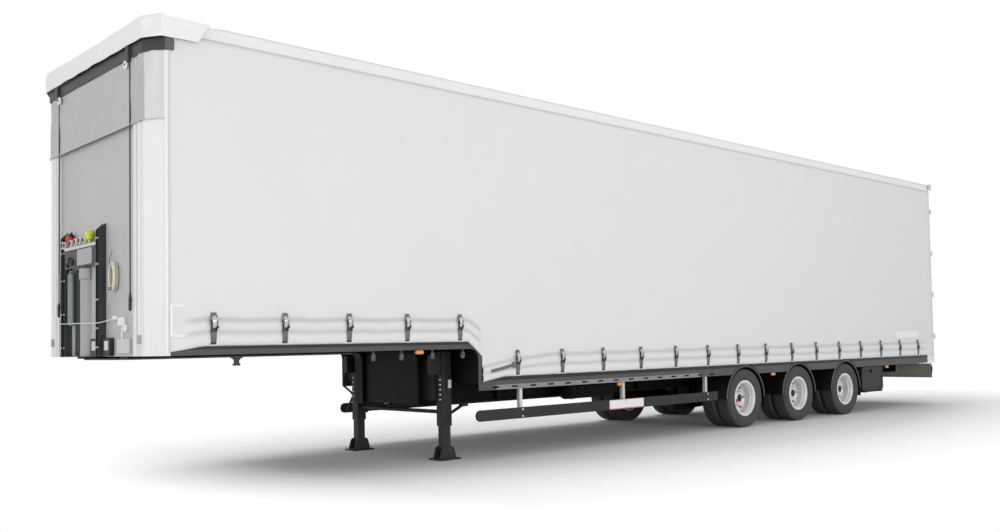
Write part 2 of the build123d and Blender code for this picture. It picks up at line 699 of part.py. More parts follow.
# Axles with brake plates and spindles
PLATE_Y = WHEEL_Y + DRUM_BACK - SWING_GAP
PLATE_T = 15
PLATE_R = 178
CHAMBER_R = 62
CHAMBER_L = 130
CHAMBER_OUT = 150
CHAMBER_Y = PLATE_Y - 65
CHAMBER_UP = 95
with BuildPart() as axle_beams:
    for x in AXLE_X:
        rod((x, -PLATE_Y, TYRE_R), (x, PLATE_Y, TYRE_R), AXLE_R)
        for side in (1, -1):
            rod((x, side * (PLATE_Y - PLATE_T), TYRE_R), (x, side * PLATE_Y, TYRE_R), PLATE_R)
            rod((x, side * PLATE_Y, TYRE_R), (x, side * (WHEEL_Y + SPINDLE_END), TYRE_R), SPINDLE_R)
            chamber = (x - CHAMBER_OUT, side * CHAMBER_Y, TYRE_R + CHAMBER_UP)
            rod(chamber, (chamber[0] - CHAMBER_L, chamber[1], chamber[2]), CHAMBER_R)
            block(
                (chamber[0], x),
                sorted((side * (CHAMBER_Y - 15), side * (CHAMBER_Y + 15))),
                (TYRE_R, TYRE_R + CHAMBER_UP),
            )
save(axle_beams, "axle_beams")

# Trailing arms with eyes and saddles, hung from tapered plates
ARM_TOP = TYRE_R - AXLE_R
HANGER_T = 20
HANGER_TOP = 120
HANGER_FOOT = 60
SADDLE_HALF = 85
EYE_R = 48
BOLT_R = 24
BOLT_OUT = 14
PIVOT_Z = ARM_TOP - ARM_H / 2
with BuildPart() as suspension_arms:
    for x in AXLE_X:
        pivot = x + PIVOT_OUT
        with BuildSketch(Plane.XZ.offset(-BEAM_Y)):
            with BuildLine():
                Polyline(
                    (x - ARM_REAR, ARM_TOP),
                    (x - SADDLE_HALF, ARM_TOP),
                    (x - SADDLE_HALF, TYRE_R),
                    (x + SADDLE_HALF, TYRE_R),
                    (x + SADDLE_HALF, ARM_TOP),
                    (pivot, PIVOT_Z + EYE_R),
                    (pivot, PIVOT_Z - EYE_R),
                    (x, ARM_TOP - ARM_H),
                    (x - ARM_REAR, ARM_TOP - ARM_H / 2),
                    close=True,
                )
            make_face()
            with Locations((pivot, PIVOT_Z)):
                Circle(EYE_R)
            with Locations((x, TYRE_R)):
                Circle(AXLE_R, mode=Mode.SUBTRACT)
        extrude(amount=ARM_HALF, both=True)
        with BuildSketch(Plane.XZ.offset(-BEAM_Y + ARM_HALF + HANGER_T)):
            with BuildLine():
                Polyline(
                    (pivot - HANGER_TOP, BEAM_BOTTOM),
                    (pivot + HANGER_TOP, BEAM_BOTTOM),
                    (pivot + HANGER_FOOT, PIVOT_Z),
                    (pivot - HANGER_FOOT, PIVOT_Z),
                    close=True,
                )
            make_face()
            with Locations((pivot, PIVOT_Z)):
                Circle(HANGER_FOOT)
        extrude(amount=-2 * (ARM_HALF + HANGER_T))
        with BuildSketch(Plane.XZ.offset(-BEAM_Y)):
            with Locations((pivot, (PIVOT_Z + EYE_R + BEAM_BOTTOM) / 2)):
                Rectangle(4 * HANGER_TOP, BEAM_BOTTOM - PIVOT_Z - EYE_R)
        extrude(amount=ARM_HALF, both=True, mode=Mode.SUBTRACT)
        bolt = BEAM_Y + ARM_HALF + HANGER_T + BOLT_OUT
        rod((pivot, 2 * BEAM_Y - bolt, PIVOT_Z), (pivot, bolt, PIVOT_Z), BOLT_R)
    mirror(about=Plane.XZ)
save(suspension_arms, "suspension_arms")

# Air springs, a rolling bag over a piston
PISTON_R = 62
PISTON_TOP = 75
BAG_LIP = 45
with BuildPart() as air_bags:
    bag_top = BEAM_BOTTOM - ARM_TOP
    lip = (BAG_R - BAG_LIP / 2, PISTON_TOP - BAG_LIP / 2)
    shoulder = (BAG_R, PISTON_TOP + BAG_LIP)
    for x in AXLE_X:
        for side in (1, -1):
            seat = (x - BAG_OUT, side * BEAM_Y, ARM_TOP)
            with BuildSketch(Plane(seat, x_dir=(1, 0, 0), z_dir=(0, -1, 0))):
                with BuildLine():
                    Polyline((0, 0), (PISTON_R, 0), (PISTON_R, PISTON_TOP), lip)
                    ThreePointArc(lip, (BAG_R, PISTON_TOP), shoulder)
                    Polyline(shoulder, (BAG_R, bag_top - BAG_LIP), (PISTON_R, bag_top))
                    Polyline((PISTON_R, bag_top), (0, bag_top), (0, 0))
                make_face()
            revolve(axis=Axis((x - BAG_OUT, side * BEAM_Y, 0), (0, 0, 1)))
save(air_bags, "air_bags")

# Wheels, two rims and a hub as one turned solid, facing +Y at the origin
RIM_OUT = DUAL_PITCH / 2 + RIM_HALF
RIM_NEAR = DUAL_PITCH / 2 - RIM_HALF
DISC_T = 26
RIM_SECTION = [
    (RIM_LIP, RIM_OUT + LIP_T),
    (RIM_LIP - 21, RIM_OUT + LIP_T),
    (RIM_R - 14, RIM_OUT - 48),
    (RIM_R - 22, RIM_NEAR + 13),
    (160, DISC_T),
    (HUB_R, DISC_T),
    (HUB_R, 0),
    (165, 0),
    (RIM_R - 8, RIM_NEAR - LIP_T),
    (RIM_LIP, RIM_NEAR - LIP_T),
    (RIM_LIP, RIM_NEAR),
    (RIM_R, RIM_NEAR),
    (RIM_R, RIM_OUT),
    (RIM_LIP, RIM_OUT),
]
HUB_SECTION = [
    (0, SPINDLE_END + 2),
    (0, HUB_END),
    (60, HUB_END),
    (78, HUB_END - 16),
    (HUB_R, DISC_T),
    (HUB_R, HUB_BACK),
    (SPINDLE_R + RUN_GAP, HUB_BACK),
    (SPINDLE_R + RUN_GAP, SPINDLE_END + 2),
]
DRUM_WEB = -60
DRUM_SECTION = [
    (HUB_R, DRUM_WEB + 12),
    (DRUM_R, DRUM_WEB + 12),
    (DRUM_R, DRUM_BACK),
    (DRUM_R - 20, DRUM_BACK),
    (DRUM_R - 20, DRUM_WEB),
    (HUB_R, DRUM_WEB),
]
HAND_HOLES = 8
HAND_HOLE_R = 19
HAND_CIRCLE_R = 182
with BuildPart() as wheel:
    inner_rim = [(r, -y) for r, y in RIM_SECTION]
    for section in (RIM_SECTION, inner_rim):
        with BuildSketch(Plane.XY):
            with BuildLine():
                Polyline(*section, close=True)
            make_face()
        revolve(axis=Axis.Y)
    with BuildSketch(Plane.XZ):
        with PolarLocations(HAND_CIRCLE_R, HAND_HOLES):
            Circle(HAND_HOLE_R)
    extrude(amount=RIM_NEAR + 4 * DISC_T, both=True, mode=Mode.SUBTRACT)
    for section in (HUB_SECTION, DRUM_SECTION):
        with BuildSketch(Plane.XY):
            with BuildLine():
                Polyline(*section, close=True)
            make_face()
        revolve(axis=Axis.Y)

# Tyres, two turned rings seated on the rims
BEAD = RIM_HALF - RUN_GAP
TYRE_SECTION = [
    (RIM_R + RUN_GAP, BEAD),
    (RIM_LIP + 2, BEAD),
    (302, TYRE_W / 2),
    (364, 100),
    (TYRE_R, 82),
]
with BuildPart() as tyre:
    far_side = [(r, -y) for r, y in reversed(TYRE_SECTION)]
    for middle in (DUAL_PITCH / 2, -DUAL_PITCH / 2):
        with BuildSketch(Plane.XY):
            with BuildLine():
                Polyline(*[(r, y + middle) for r, y in TYRE_SECTION + far_side], close=True)
            make_face()
        revolve(axis=Axis.Y)

for row, x in enumerate(AXLE_X, start=1):
    for side, turn, word in ((1, 0, "left"), (-1, 180, "right")):
        place = Location((x, side * WHEEL_Y, TYRE_R), (0, 0, turn))
        for source, kind in ((wheel, "wheel"), (tyre, "tyre")):
            placed = source.part.moved(place)
            placed.label = f"{kind}_{word}_{row}"
            export_step(placed, f"parts/{placed.label}.step")

# Mudguards on tubes from the beams
GUARD_IN = 735
GUARD_OUT = SIDE_Y
STAY_R = 17
VALANCE = 20
STAY_OUT = GUARD_R + GUARD_T + STAY_R - 4
with BuildPart() as mudguards:
    for x in AXLE_X:
        with BuildSketch(Plane.XZ.offset(-GUARD_IN)):
            with Locations((x, TYRE_R)):
                Circle(GUARD_R + GUARD_T)
                Circle(GUARD_R, mode=Mode.SUBTRACT)
            with Locations((x, TYRE_R - GUARD_R)):
                Rectangle(4 * GUARD_R, 2 * GUARD_R, mode=Mode.SUBTRACT)
        extrude(amount=GUARD_IN - GUARD_OUT)
        with BuildSketch(Plane.XZ.offset(-GUARD_OUT)):
            with Locations((x, TYRE_R)):
                Circle(GUARD_R + GUARD_T / 2)
                Circle(GUARD_R - VALANCE, mode=Mode.SUBTRACT)
            with Locations((x, TYRE_R - GUARD_R)):
                Rectangle(4 * GUARD_R, 2 * GUARD_R, mode=Mode.SUBTRACT)
        extrude(amount=GUARD_T)
        for side in (1, -1):
            stay_x = x + side * STAY_OUT * cos(radians(45))
            stay_z = TYRE_R + STAY_OUT * sin(radians(45))
            rod((stay_x, BEAM_Y + WEB_T / 2, stay_z), (stay_x, RAIL_IN - 10, stay_z), STAY_R)
        block((x - GUARD_R - GUARD_T, x - GUARD_R), (GUARD_IN, GUARD_OUT), (TYRE_R - 120, TYRE_R))
    mirror(about=Plane.XZ)
save(mudguards, "mudguards")

# Landing legs, a tube in a tube on a rocking foot
FOOT_T = 16
FOOT_TAPER = 35
FOOT_R = 30
CHEEK_FOOT = 105
CHEEK_HEAD = 70
CHEEK_TOP = 135
CHEEK_R = 45
CHEEK_T = 12
ANKLE_Z = 105
ANKLE_R = 34
LEG_R = 10
with BuildPart() as landing_legs:
    for size, low, high in ((LEG_TUBE, LEG_SPLIT, LEG_TOP), (LEG_INNER, ANKLE_Z, LEG_SPLIT)):
        with BuildSketch(Plane.XY.offset(low)):
            with Locations((LEG_X, LEG_Y)):
                RectangleRounded(size, size, LEG_R)
        extrude(amount=high - low)
    with BuildSketch(Plane.XZ.offset(-LEG_Y)):
        with Locations((LEG_X, ANKLE_Z)):
            Circle(ANKLE_R)
    extrude(amount=LEG_INNER / 2 + CHEEK_T, both=True)
    for inner in (LEG_Y - LEG_INNER / 2 - CHEEK_T, LEG_Y + LEG_INNER / 2):
        with BuildSketch(Plane.XZ.offset(-inner)) as cheek:
            with BuildLine():
                Polyline(
                    (LEG_X - CHEEK_FOOT, FOOT_T),
                    (LEG_X + CHEEK_FOOT, FOOT_T),
                    (LEG_X + CHEEK_HEAD, CHEEK_TOP),
                    (LEG_X - CHEEK_HEAD, CHEEK_TOP),
                    close=True,
                )
            make_face()
            fillet(cheek.vertices().group_by(Axis.Y)[-1], CHEEK_R)
        extrude(amount=-CHEEK_T)
    with BuildSketch(Plane.XY):
        with Locations((LEG_X, LEG_Y)):
            RectangleRounded(FOOT_L, FOOT_W, FOOT_R)
    extrude(amount=FOOT_T, taper=FOOT_TAPER)
    mirror(about=Plane.XZ)
save(landing_legs, "landing_legs")

# Leg brackets, cross shaft and stays to the beams
SHAFT_Z = 480
SHAFT_R = 20
BRACKET_Z = (600, 1010)
BRACKET_HALF = 90
BRACKET_T = 12
STAY_FOOT_X = LEG_X - 450
STAY_FOOT = 70
STAY_ROD_R = 16
CLAMP_Z = 440
CLAMP_T = 22
HORN_L = 178
HORN_Z = 870
HORN_CUT = 40
HORN_T = 70
with BuildPart() as landing_brace:
    leg_in = LEG_Y - LEG_TUBE / 2
    web_face = BEAM_Y + WEB_T / 2
    for edge in (LEG_X - BRACKET_HALF, LEG_X + BRACKET_HALF - BRACKET_T):
        block((edge, edge + BRACKET_T), (web_face, leg_in), BRACKET_Z)
    block((LEG_X - BRACKET_HALF, LEG_X + BRACKET_HALF), (leg_in - BRACKET_T, leg_in), BRACKET_Z)
    clamp_x = LEG_X - LEG_TUBE / 2 - CLAMP_T
    block((clamp_x, clamp_x + CLAMP_T), (leg_in, LEG_Y), (CLAMP_Z - CLAMP_T, CLAMP_Z + CLAMP_T))
    stay_x = (STAY_FOOT_X - STAY_FOOT / 2, STAY_FOOT_X + STAY_FOOT / 2)
    block(stay_x, (BEAM_Y, BEAM_Y + STAY_FOOT), (BEAM_BOTTOM - STAY_FOOT / 2, BEAM_BOTTOM))
    with BuildSketch(Plane.XZ.offset(-LEG_Y)) as horn:
        with BuildLine():
            Polyline(
                (LEG_X + LEG_TUBE / 2, HORN_Z),
                (LEG_X + HORN_L, HORN_Z),
                (LEG_X + HORN_L, LEG_TOP - HORN_CUT),
                (LEG_X + HORN_L - HORN_CUT, LEG_TOP),
                (LEG_X + LEG_TUBE / 2, LEG_TOP),
                close=True,
            )
        make_face()
    extrude(amount=HORN_T / 2, both=True)
    rod(
        (STAY_FOOT_X, BEAM_Y + STAY_FOOT / 2, BEAM_BOTTOM - STAY_ROD_R),
        (clamp_x + CLAMP_T / 2, leg_in + CLAMP_T, CLAMP_Z),
        STAY_ROD_R,
    )
    mirror(about=Plane.XZ)
    rod((LEG_X, -leg_in, SHAFT_Z), (LEG_X, leg_in, SHAFT_Z), SHAFT_R)
save(landing_brace, "landing_brace")

# Crank on the right leg, stowed upright
CRANK_Y = -LEG_Y - LEG_TUBE / 2 - 45
CRANK_R = 11
GRIP_R = 13
CRANK_PATH = [(LEG_X, 600), (LEG_X + 40, 650), (LEG_X + 130, 720), (LEG_X + 135, 790), (LEG_X + 80, 940)]
with BuildPart() as crank_handle:
    rod((LEG_X, -LEG_Y - LEG_TUBE / 2, CRANK_PATH[0][1]), (LEG_X, CRANK_Y - 20, CRANK_PATH[0][1]), 18)
    for (x0, z0), (x1, z1) in zip(CRANK_PATH, CRANK_PATH[1:]):
        rod((x0, CRANK_Y, z0), (x1, CRANK_Y, z1), CRANK_R)
        with Locations((x1, CRANK_Y, z1)):
            Sphere(CRANK_R)
    rod((LEG_X + 14, CRANK_Y, 596), (LEG_X + 100, CRANK_Y, 425), GRIP_R)
save(crank_handle, "crank_handle")

# Side guards, a plank on posts
GUARD_BOTTOM = 392
GUARD_H = 112
PLANK_T = 25
PLANK_FRONT = STEP_X + 74
PLANK_REAR = AXLE_X[0] + 634
POST_PART = (0.84575, 0.44425, 0.0515)
POST_X = [PLANK_REAR + part * (PLANK_FRONT - PLANK_REAR) for part in POST_PART]
POST_W = 40
PLANK_GROOVE = 8
with BuildPart() as side_guards:
    with BuildSketch(Plane.XZ.offset(-SIDE_Y)) as plank_side:
        with Locations(((PLANK_REAR + PLANK_FRONT) / 2, GUARD_BOTTOM + GUARD_H / 2)):
            Rectangle(PLANK_FRONT - PLANK_REAR, GUARD_H)
        fillet(plank_side.vertices().group_by(Axis.X)[-1], GUARD_H / 2 - 1)
    extrude(amount=PLANK_T)
    for z in (GUARD_BOTTOM + GUARD_H / 3, GUARD_BOTTOM + 2 * GUARD_H / 3):
        with Locations(((PLANK_REAR + PLANK_FRONT) / 2, SIDE_Y, z)):
            Box(PLANK_FRONT - PLANK_REAR - 2 * GUARD_H, PLANK_GROOVE, PLANK_GROOVE, mode=Mode.SUBTRACT)
    mirror(about=Plane.XZ)
save(side_guards, "side_guards")

with BuildPart() as guard_posts:
    for x in POST_X:
        block(
            (x - POST_W / 2, x + POST_W / 2),
            (SIDE_Y - PLANK_T - POST_W, SIDE_Y - PLANK_T),
            (GUARD_BOTTOM, LOW_RAIL_BOTTOM),
        )
    mirror(about=Plane.XZ)
save(guard_posts, "guard_posts")

# Toolbox, open on its outer side, with hangers and lid pins
LID_GAP = 5
LID_AXIS_Y = SIDE_Y + LID_AXIS_OUT
LID_AXIS_Z = BOX_BOTTOM + 12
LID_IN = SIDE_Y - BOX_LID_T
LID_LUG_X = (BOX_FRONT - 90, BOX_REAR + 90)
LID_LUG_W = 40
LID_LUG_T = 10
LID_KNUCKLE_R = 11
BOX_MOUTH = LID_IN - LID_GAP
BOX_R = 45
LID_BOTTOM = LID_AXIS_Z + 12
LID_RIM = 40
LID_PANEL_D = 5
LATCH_L = 90
LATCH_H = 45
LATCH_T = 16
with BuildPart() as toolbox:
    with BuildSketch(Plane.XZ.offset(-BOX_IN)):
        with Locations(((BOX_FRONT + BOX_REAR) / 2, (BOX_BOTTOM + BOX_TOP) / 2)):
            RectangleRounded(BOX_FRONT - BOX_REAR, BOX_TOP - BOX_BOTTOM, BOX_R)
    extrude(amount=BOX_IN - BOX_MOUTH)
    with BuildSketch(Plane.XZ.offset(-BOX_IN - BOX_WALL)):
        with Locations(((BOX_FRONT + BOX_REAR) / 2, (BOX_BOTTOM + BOX_TOP) / 2)):
            RectangleRounded(BOX_L - 2 * BOX_WALL, BOX_TOP - BOX_BOTTOM - 2 * BOX_WALL, BOX_R - BOX_WALL)
    extrude(amount=BOX_IN + BOX_WALL - BOX_MOUTH, mode=Mode.SUBTRACT)
    for x in (BOX_FRONT - 120, BOX_REAR + 120):
        block((x - 20, x + 20), (BOX_IN + 40, RAIL_IN), (BOX_TOP, LOW_FLOOR - FLOOR_T))
    for x in LID_LUG_X:
        lug_in = LID_LUG_W / 2 + 2
        for low in (x - lug_in - LID_LUG_T, x + lug_in):
            block(
                (low, low + LID_LUG_T),
                (BOX_MOUTH - 60, LID_AXIS_Y + LID_PIN_R + 3),
                (BOX_BOTTOM, LID_AXIS_Z + LID_PIN_R + 1),
            )
        pin_end = lug_in + LID_LUG_T
        rod((x - pin_end, LID_AXIS_Y, LID_AXIS_Z), (x + pin_end, LID_AXIS_Y, LID_AXIS_Z), LID_PIN_R)
save(toolbox, "toolbox")

with BuildPart() as toolbox_lid:
    with BuildSketch(Plane.XZ.offset(-LID_IN)):
        with Locations(((BOX_FRONT + BOX_REAR) / 2, (LID_BOTTOM + BOX_TOP) / 2)):
            RectangleRounded(BOX_FRONT - BOX_REAR, BOX_TOP - LID_BOTTOM, BOX_R)
    extrude(amount=-BOX_LID_T)
    with BuildSketch(Plane.XZ.offset(-SIDE_Y)):
        with Locations(((BOX_FRONT + BOX_REAR) / 2, (LID_BOTTOM + BOX_TOP) / 2)):
            RectangleRounded(BOX_L - 2 * LID_RIM, BOX_TOP - LID_BOTTOM - 2 * LID_RIM, BOX_R)
    extrude(amount=LID_PANEL_D, mode=Mode.SUBTRACT)
    block(
        ((BOX_FRONT + BOX_REAR - LATCH_L) / 2, (BOX_FRONT + BOX_REAR + LATCH_L) / 2),
        (SIDE_Y - BOX_LID_T, SIDE_Y + LATCH_T),
        (BOX_TOP - LID_RIM - LATCH_H, BOX_TOP - LID_RIM),
    )
    for x in LID_LUG_X:
        lug = (x - LID_LUG_W / 2, x + LID_LUG_W / 2)
        rod((lug[0], LID_AXIS_Y, LID_AXIS_Z), (lug[1], LID_AXIS_Y, LID_AXIS_Z), LID_KNUCKLE_R)
        block(lug, (SIDE_Y - 8, LID_AXIS_Y), (LID_AXIS_Z, LID_AXIS_Z + 30))
    for x in LID_LUG_X:
        with Locations(Plane(origin=(x, LID_AXIS_Y, LID_AXIS_Z), z_dir=(1, 0, 0))):
            Cylinder(LID_PIN_R + RUN_GAP, LID_LUG_W, mode=Mode.SUBTRACT)
save(toolbox_lid, "toolbox_lid")

# Air tanks beside the beams
TANK_R = 125
TANK_L = 800
TANK_MID = AXLE_X[0] + 0.5526 * BAY
TANK_X = (TANK_MID - TANK_L / 2, TANK_MID + TANK_L / 2)
TANK_Y = 720
TANK_Z = LOW_BEAM_TOP - TANK_R - 12
TANK_DOME = 45
BAND_W = 40
BAND_T = 4
BAND_IN = 150
with BuildPart() as air_tanks:
    with BuildSketch(Plane((0, TANK_Y, TANK_Z), x_dir=(1, 0, 0), z_dir=(0, -1, 0))):
        with BuildLine():
            Polyline(
                (TANK_X[0], 0),
                (TANK_X[1], 0),
                (TANK_X[1] - TANK_DOME / 3, TANK_R / 2),
                (TANK_X[1] - TANK_DOME, TANK_R),
                (TANK_X[0] + TANK_DOME, TANK_R),
                (TANK_X[0] + TANK_DOME / 3, TANK_R / 2),
                close=True,
            )
        make_face()
    revolve(axis=Axis((0, TANK_Y, TANK_Z), (1, 0, 0)))
    for x in (TANK_X[0] + BAND_IN, TANK_X[1] - BAND_IN):
        rod((x - BAND_W / 2, TANK_Y, TANK_Z), (x + BAND_W / 2, TANK_Y, TANK_Z), TANK_R + BAND_T)
        arm_z = (TANK_Z - BAND_W / 2, TANK_Z + BAND_W / 2)
        block((x - BAND_W / 2, x + BAND_W / 2), (BEAM_Y + WEB_T / 2, TANK_Y), arm_z)
    mirror(about=Plane.XZ)
save(air_tanks, "air_tanks")

# Rear lamp carrier and bumper bar
BUMPER_REAR = PORTAL_REAR + 20
BUMPER_T = 60
BUMPER_BOTTOM = 440
BUMPER_TOP = 680
BUMPER_HALF = SIDE_Y - 40
BUMPER_WALL = 8
with BuildPart() as rear_bumper:
    with BuildSketch(Plane.XZ):
        with Locations(((BUMPER_REAR + PORTAL_FRONT) / 2, (BUMPER_BOTTOM + BUMPER_TOP) / 2)):
            Rectangle(PORTAL_FRONT - BUMPER_REAR, BUMPER_TOP - BUMPER_BOTTOM)
        with Locations(((BUMPER_REAR + PORTAL_FRONT) / 2 + BUMPER_WALL, (BUMPER_BOTTOM + BUMPER_TOP) / 2)):
            inner_h = BUMPER_TOP - BUMPER_BOTTOM - 2 * BUMPER_WALL
            Rectangle(PORTAL_FRONT - BUMPER_REAR, inner_h, mode=Mode.SUBTRACT)
    extrude(amount=BUMPER_HALF, both=True)
    for y in (-BEAM_Y, BEAM_Y):
        block((BUMPER_REAR, PORTAL_FRONT), (y - FLANGE_W / 2, y + FLANGE_W / 2), (BEAM_BOTTOM, BUMPER_TOP))
save(rear_bumper, "rear_bumper")

LAMP_T = 45
LAMP_Y = (760, 1180)
with BuildPart() as rear_lamps:
    block((BUMPER_REAR - LAMP_T, BUMPER_REAR), LAMP_Y, (500, 640))
    mirror(about=Plane.XZ)
save(rear_lamps, "rear_lamps")

BUFFER_Y = (1060, 1200)
with BuildPart() as dock_buffers:
    block((-FRONT, PORTAL_REAR), BUFFER_Y, (LOW_RAIL_BOTTOM + 10, LOW_FLOOR - 20))
    mirror(about=Plane.XZ)
save(dock_buffers, "dock_buffers")

MARKER_L = 100
MARKER_ROWS = [
    (STEP_X + 765, HIGH_RAIL_BOTTOM),
    (POST_X[1] + 79, LOW_RAIL_BOTTOM),
    (AXLE_X[0] - AXLE_PITCH / 2, LOW_RAIL_BOTTOM),
    (BOX_REAR - 150, LOW_RAIL_BOTTOM),
]
with BuildPart() as marker_lamps:
    for x, z in MARKER_ROWS:
        block((x - MARKER_L / 2, x + MARKER_L / 2), (SIDE_Y - 30, SIDE_Y), (z - 42, z))
    mirror(about=Plane.XZ)
save(marker_lamps, "marker_lamps")

# Stand for the couplings, two channels with a shelf between
STAND_DEPTH = 60
STAND_T = 6
STAND_Y = ((-700, -590), (150, 225))
STAND_TOP = 2250
STAND_CUT = 60
SHELF_Z = 2090
SHELF_T = 20
PANEL_LOW = 1900
FOOT_PLATE_H = 180
BAR_Z = 1420
with BuildPart() as connector_stand:
    for low, high in STAND_Y:
        block((WALL_FACE, WALL_FACE + STAND_T), (low, high), (FRONT_BOTTOM, STAND_TOP - STAND_CUT))
        for face in (low, high - STAND_T):
            with BuildSketch(Plane.XZ.offset(-face - STAND_T)):
                with BuildLine():
                    Polyline(
                        (WALL_FACE, FRONT_BOTTOM),
                        (WALL_FACE + STAND_DEPTH, FRONT_BOTTOM),
                        (WALL_FACE + STAND_DEPTH, STAND_TOP - STAND_CUT),
                        (WALL_FACE, STAND_TOP),
                        close=True,
                    )
                make_face()
            extrude(amount=STAND_T)
    shelf = (STAND_Y[0][1], STAND_Y[1][0])
    block((WALL_FACE, WALL_FACE + STAND_DEPTH), shelf, (SHELF_Z - SHELF_T, SHELF_Z))
    block((WALL_FACE + STAND_DEPTH - STAND_T, WALL_FACE + STAND_DEPTH), shelf, (PANEL_LOW, SHELF_Z))
    block((WALL_FACE, WALL_FACE + STAND_DEPTH), shelf, (FRONT_BOTTOM, FRONT_BOTTOM + STAND_T))
save(connector_stand, "connector_stand")

# Half-round duct between the channels, and a canister beside them
DUCT_Y = -200
DUCT_HALF = 85
DUCT_D = 58
CAN_Y = -780
CAN_R = 28
CAN_Z = (1610, 1905)
with BuildPart() as cable_duct:
    with BuildSketch(Plane.XY.offset(FRONT_BOTTOM + STAND_T)):
        with BuildLine():
            ThreePointArc(
                (WALL_FACE, DUCT_Y - DUCT_HALF),
                (WALL_FACE + DUCT_D, DUCT_Y),
                (WALL_FACE, DUCT_Y + DUCT_HALF),
            )
            Line((WALL_FACE, DUCT_Y - DUCT_HALF), (WALL_FACE, DUCT_Y + DUCT_HALF))
        make_face()
    extrude(amount=PANEL_LOW - FRONT_BOTTOM - STAND_T - SWING_GAP)
save(cable_duct, "cable_duct")

with BuildPart() as canister:
    rod((WALL_FACE + CAN_R, CAN_Y, CAN_Z[0]), (WALL_FACE + CAN_R, CAN_Y, CAN_Z[1]), CAN_R)
save(canister, "canister")

# Air couplings and sockets on the shelf
COUPLING_R = 24
COUPLING_H = 70
SOCKET_R = 27
SOCKET_L = 90
COUPLING_X = WALL_FACE + STAND_DEPTH / 2
COUPLINGS = (("air_coupling_red", -540), ("air_coupling_yellow", -60))
SOCKET_Y = (-450, -350, -250, -150)
for name, y in COUPLINGS:
    with BuildPart() as coupling:
        rod((COUPLING_X, y, SHELF_Z), (COUPLING_X, y, SHELF_Z + COUPLING_H), COUPLING_R * 0.6)
        head_z = SHELF_Z + COUPLING_H
        rod((COUPLING_X, y - COUPLING_R, head_z), (COUPLING_X, y + COUPLING_R, head_z), COUPLING_R)
    save(coupling, name)

with BuildPart() as couplings:
    for y in SOCKET_Y:
        rod((COUPLING_X, y, SHELF_Z), (COUPLING_X, y, SHELF_Z + SOCKET_L), SOCKET_R)
save(couplings, "couplings")

# Lift cables in front of the posts
CABLE_Y = WALL_HALF - 35
CABLE_FOOT = (1480, 1640)
CABLE_FOOT_HALF = 14
CABLE_R = 5
with BuildPart() as lift_cables:
    cable_x = POST_FACE + FLAP_GAP + FLAP_T + CABLE_R
    rod((cable_x, CABLE_Y, CABLE_FOOT[0]), (cable_x, CABLE_Y, HEADER_BOTTOM), CABLE_R)
    foot_y = (CABLE_Y - CABLE_FOOT_HALF, CABLE_Y + CABLE_FOOT_HALF)
    block((WALL_FACE, cable_x + CABLE_R), foot_y, CABLE_FOOT)
    mirror(about=Plane.XZ)
save(lift_cables, "lift_cables")

# Coil of customs cord on its hook
COIL_W = 165
COIL_H = 255
COIL_BAND = 48
COIL_T = 38
COIL_EDGE = 12
COIL_Z = HOOK_Z + HOOK_R + COIL_BAND - COIL_H / 2
with BuildPart() as rope_coil:
    with BuildSketch(Plane((WALL_FACE, HOOK_Y, COIL_Z), x_dir=(0, 0, 1), z_dir=(1, 0, 0))):
        SlotOverall(COIL_H, COIL_W)
        SlotOverall(COIL_H - 2 * COIL_BAND, COIL_W - 2 * COIL_BAND, mode=Mode.SUBTRACT)
    extrude(amount=COIL_T)
    chamfer(rope_coil.faces().sort_by(Axis.X)[-1].outer_wire().edges(), COIL_EDGE)
save(rope_coil, "rope_coil")
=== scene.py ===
"""Dresses the step-frame curtain-side semi trailer and sets up its studio picture.

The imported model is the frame, in metres: +X forward, +Y left, +Z up, with the
ground at z = 0. Each sub-assembly is a class that builds its own pieces on the
frame, and a table at the end gives the frame's own nodes their finishes.
"""
from __future__ import annotations

import logging
import math
from dataclasses import dataclass, field
from enum import Enum
from typing import Iterator, Optional, Sequence, Union

import bmesh
import bpy
import numpy as np
from mathutils import Matrix, Vector

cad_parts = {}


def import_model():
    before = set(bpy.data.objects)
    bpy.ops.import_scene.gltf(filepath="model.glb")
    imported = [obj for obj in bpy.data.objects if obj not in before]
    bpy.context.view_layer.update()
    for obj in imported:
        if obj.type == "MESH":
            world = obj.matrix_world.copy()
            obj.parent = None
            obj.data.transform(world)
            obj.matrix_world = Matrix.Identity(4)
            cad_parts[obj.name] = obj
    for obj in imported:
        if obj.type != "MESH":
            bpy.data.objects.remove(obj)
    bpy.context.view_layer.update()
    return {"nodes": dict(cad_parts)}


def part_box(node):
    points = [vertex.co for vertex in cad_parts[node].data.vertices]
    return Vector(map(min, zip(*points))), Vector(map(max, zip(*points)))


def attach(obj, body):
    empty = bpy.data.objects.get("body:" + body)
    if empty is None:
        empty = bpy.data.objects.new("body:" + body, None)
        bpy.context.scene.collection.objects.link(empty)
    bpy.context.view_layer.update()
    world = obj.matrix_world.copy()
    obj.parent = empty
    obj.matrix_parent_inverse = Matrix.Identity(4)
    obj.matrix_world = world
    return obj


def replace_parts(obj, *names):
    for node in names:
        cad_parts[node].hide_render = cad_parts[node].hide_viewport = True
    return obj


LOG = logging.getLogger("trailer")
Array = np.ndarray
Colour = tuple[float, float, float]
Number = Union[int, float, "Value"]
Point = tuple[float, float, float]
Route = tuple[Point, ...]
Profile = tuple[tuple[float, float], ...]

# Directions and the mirror across the trailer's middle plane
ORIGIN: Point = (0.0, 0.0, 0.0)
ALONG: Point = (1.0, 0.0, 0.0)
ACROSS: Point = (0.0, 1.0, 0.0)
UP: Point = (0.0, 0.0, 1.0)
MIRROR = np.array([1.0, -1.0, 1.0])
SIDES = ((1, "left"), (-1, "right"))

# Places and sizes that several sub-assemblies share, in metres
AXLES = (-1.070, -2.380, -3.690)
TYRE_R = 0.3835
WALL_X = 6.750
ON_WALL = 6.7505
CLOTH_T = 0.003
WELD = 1e-5

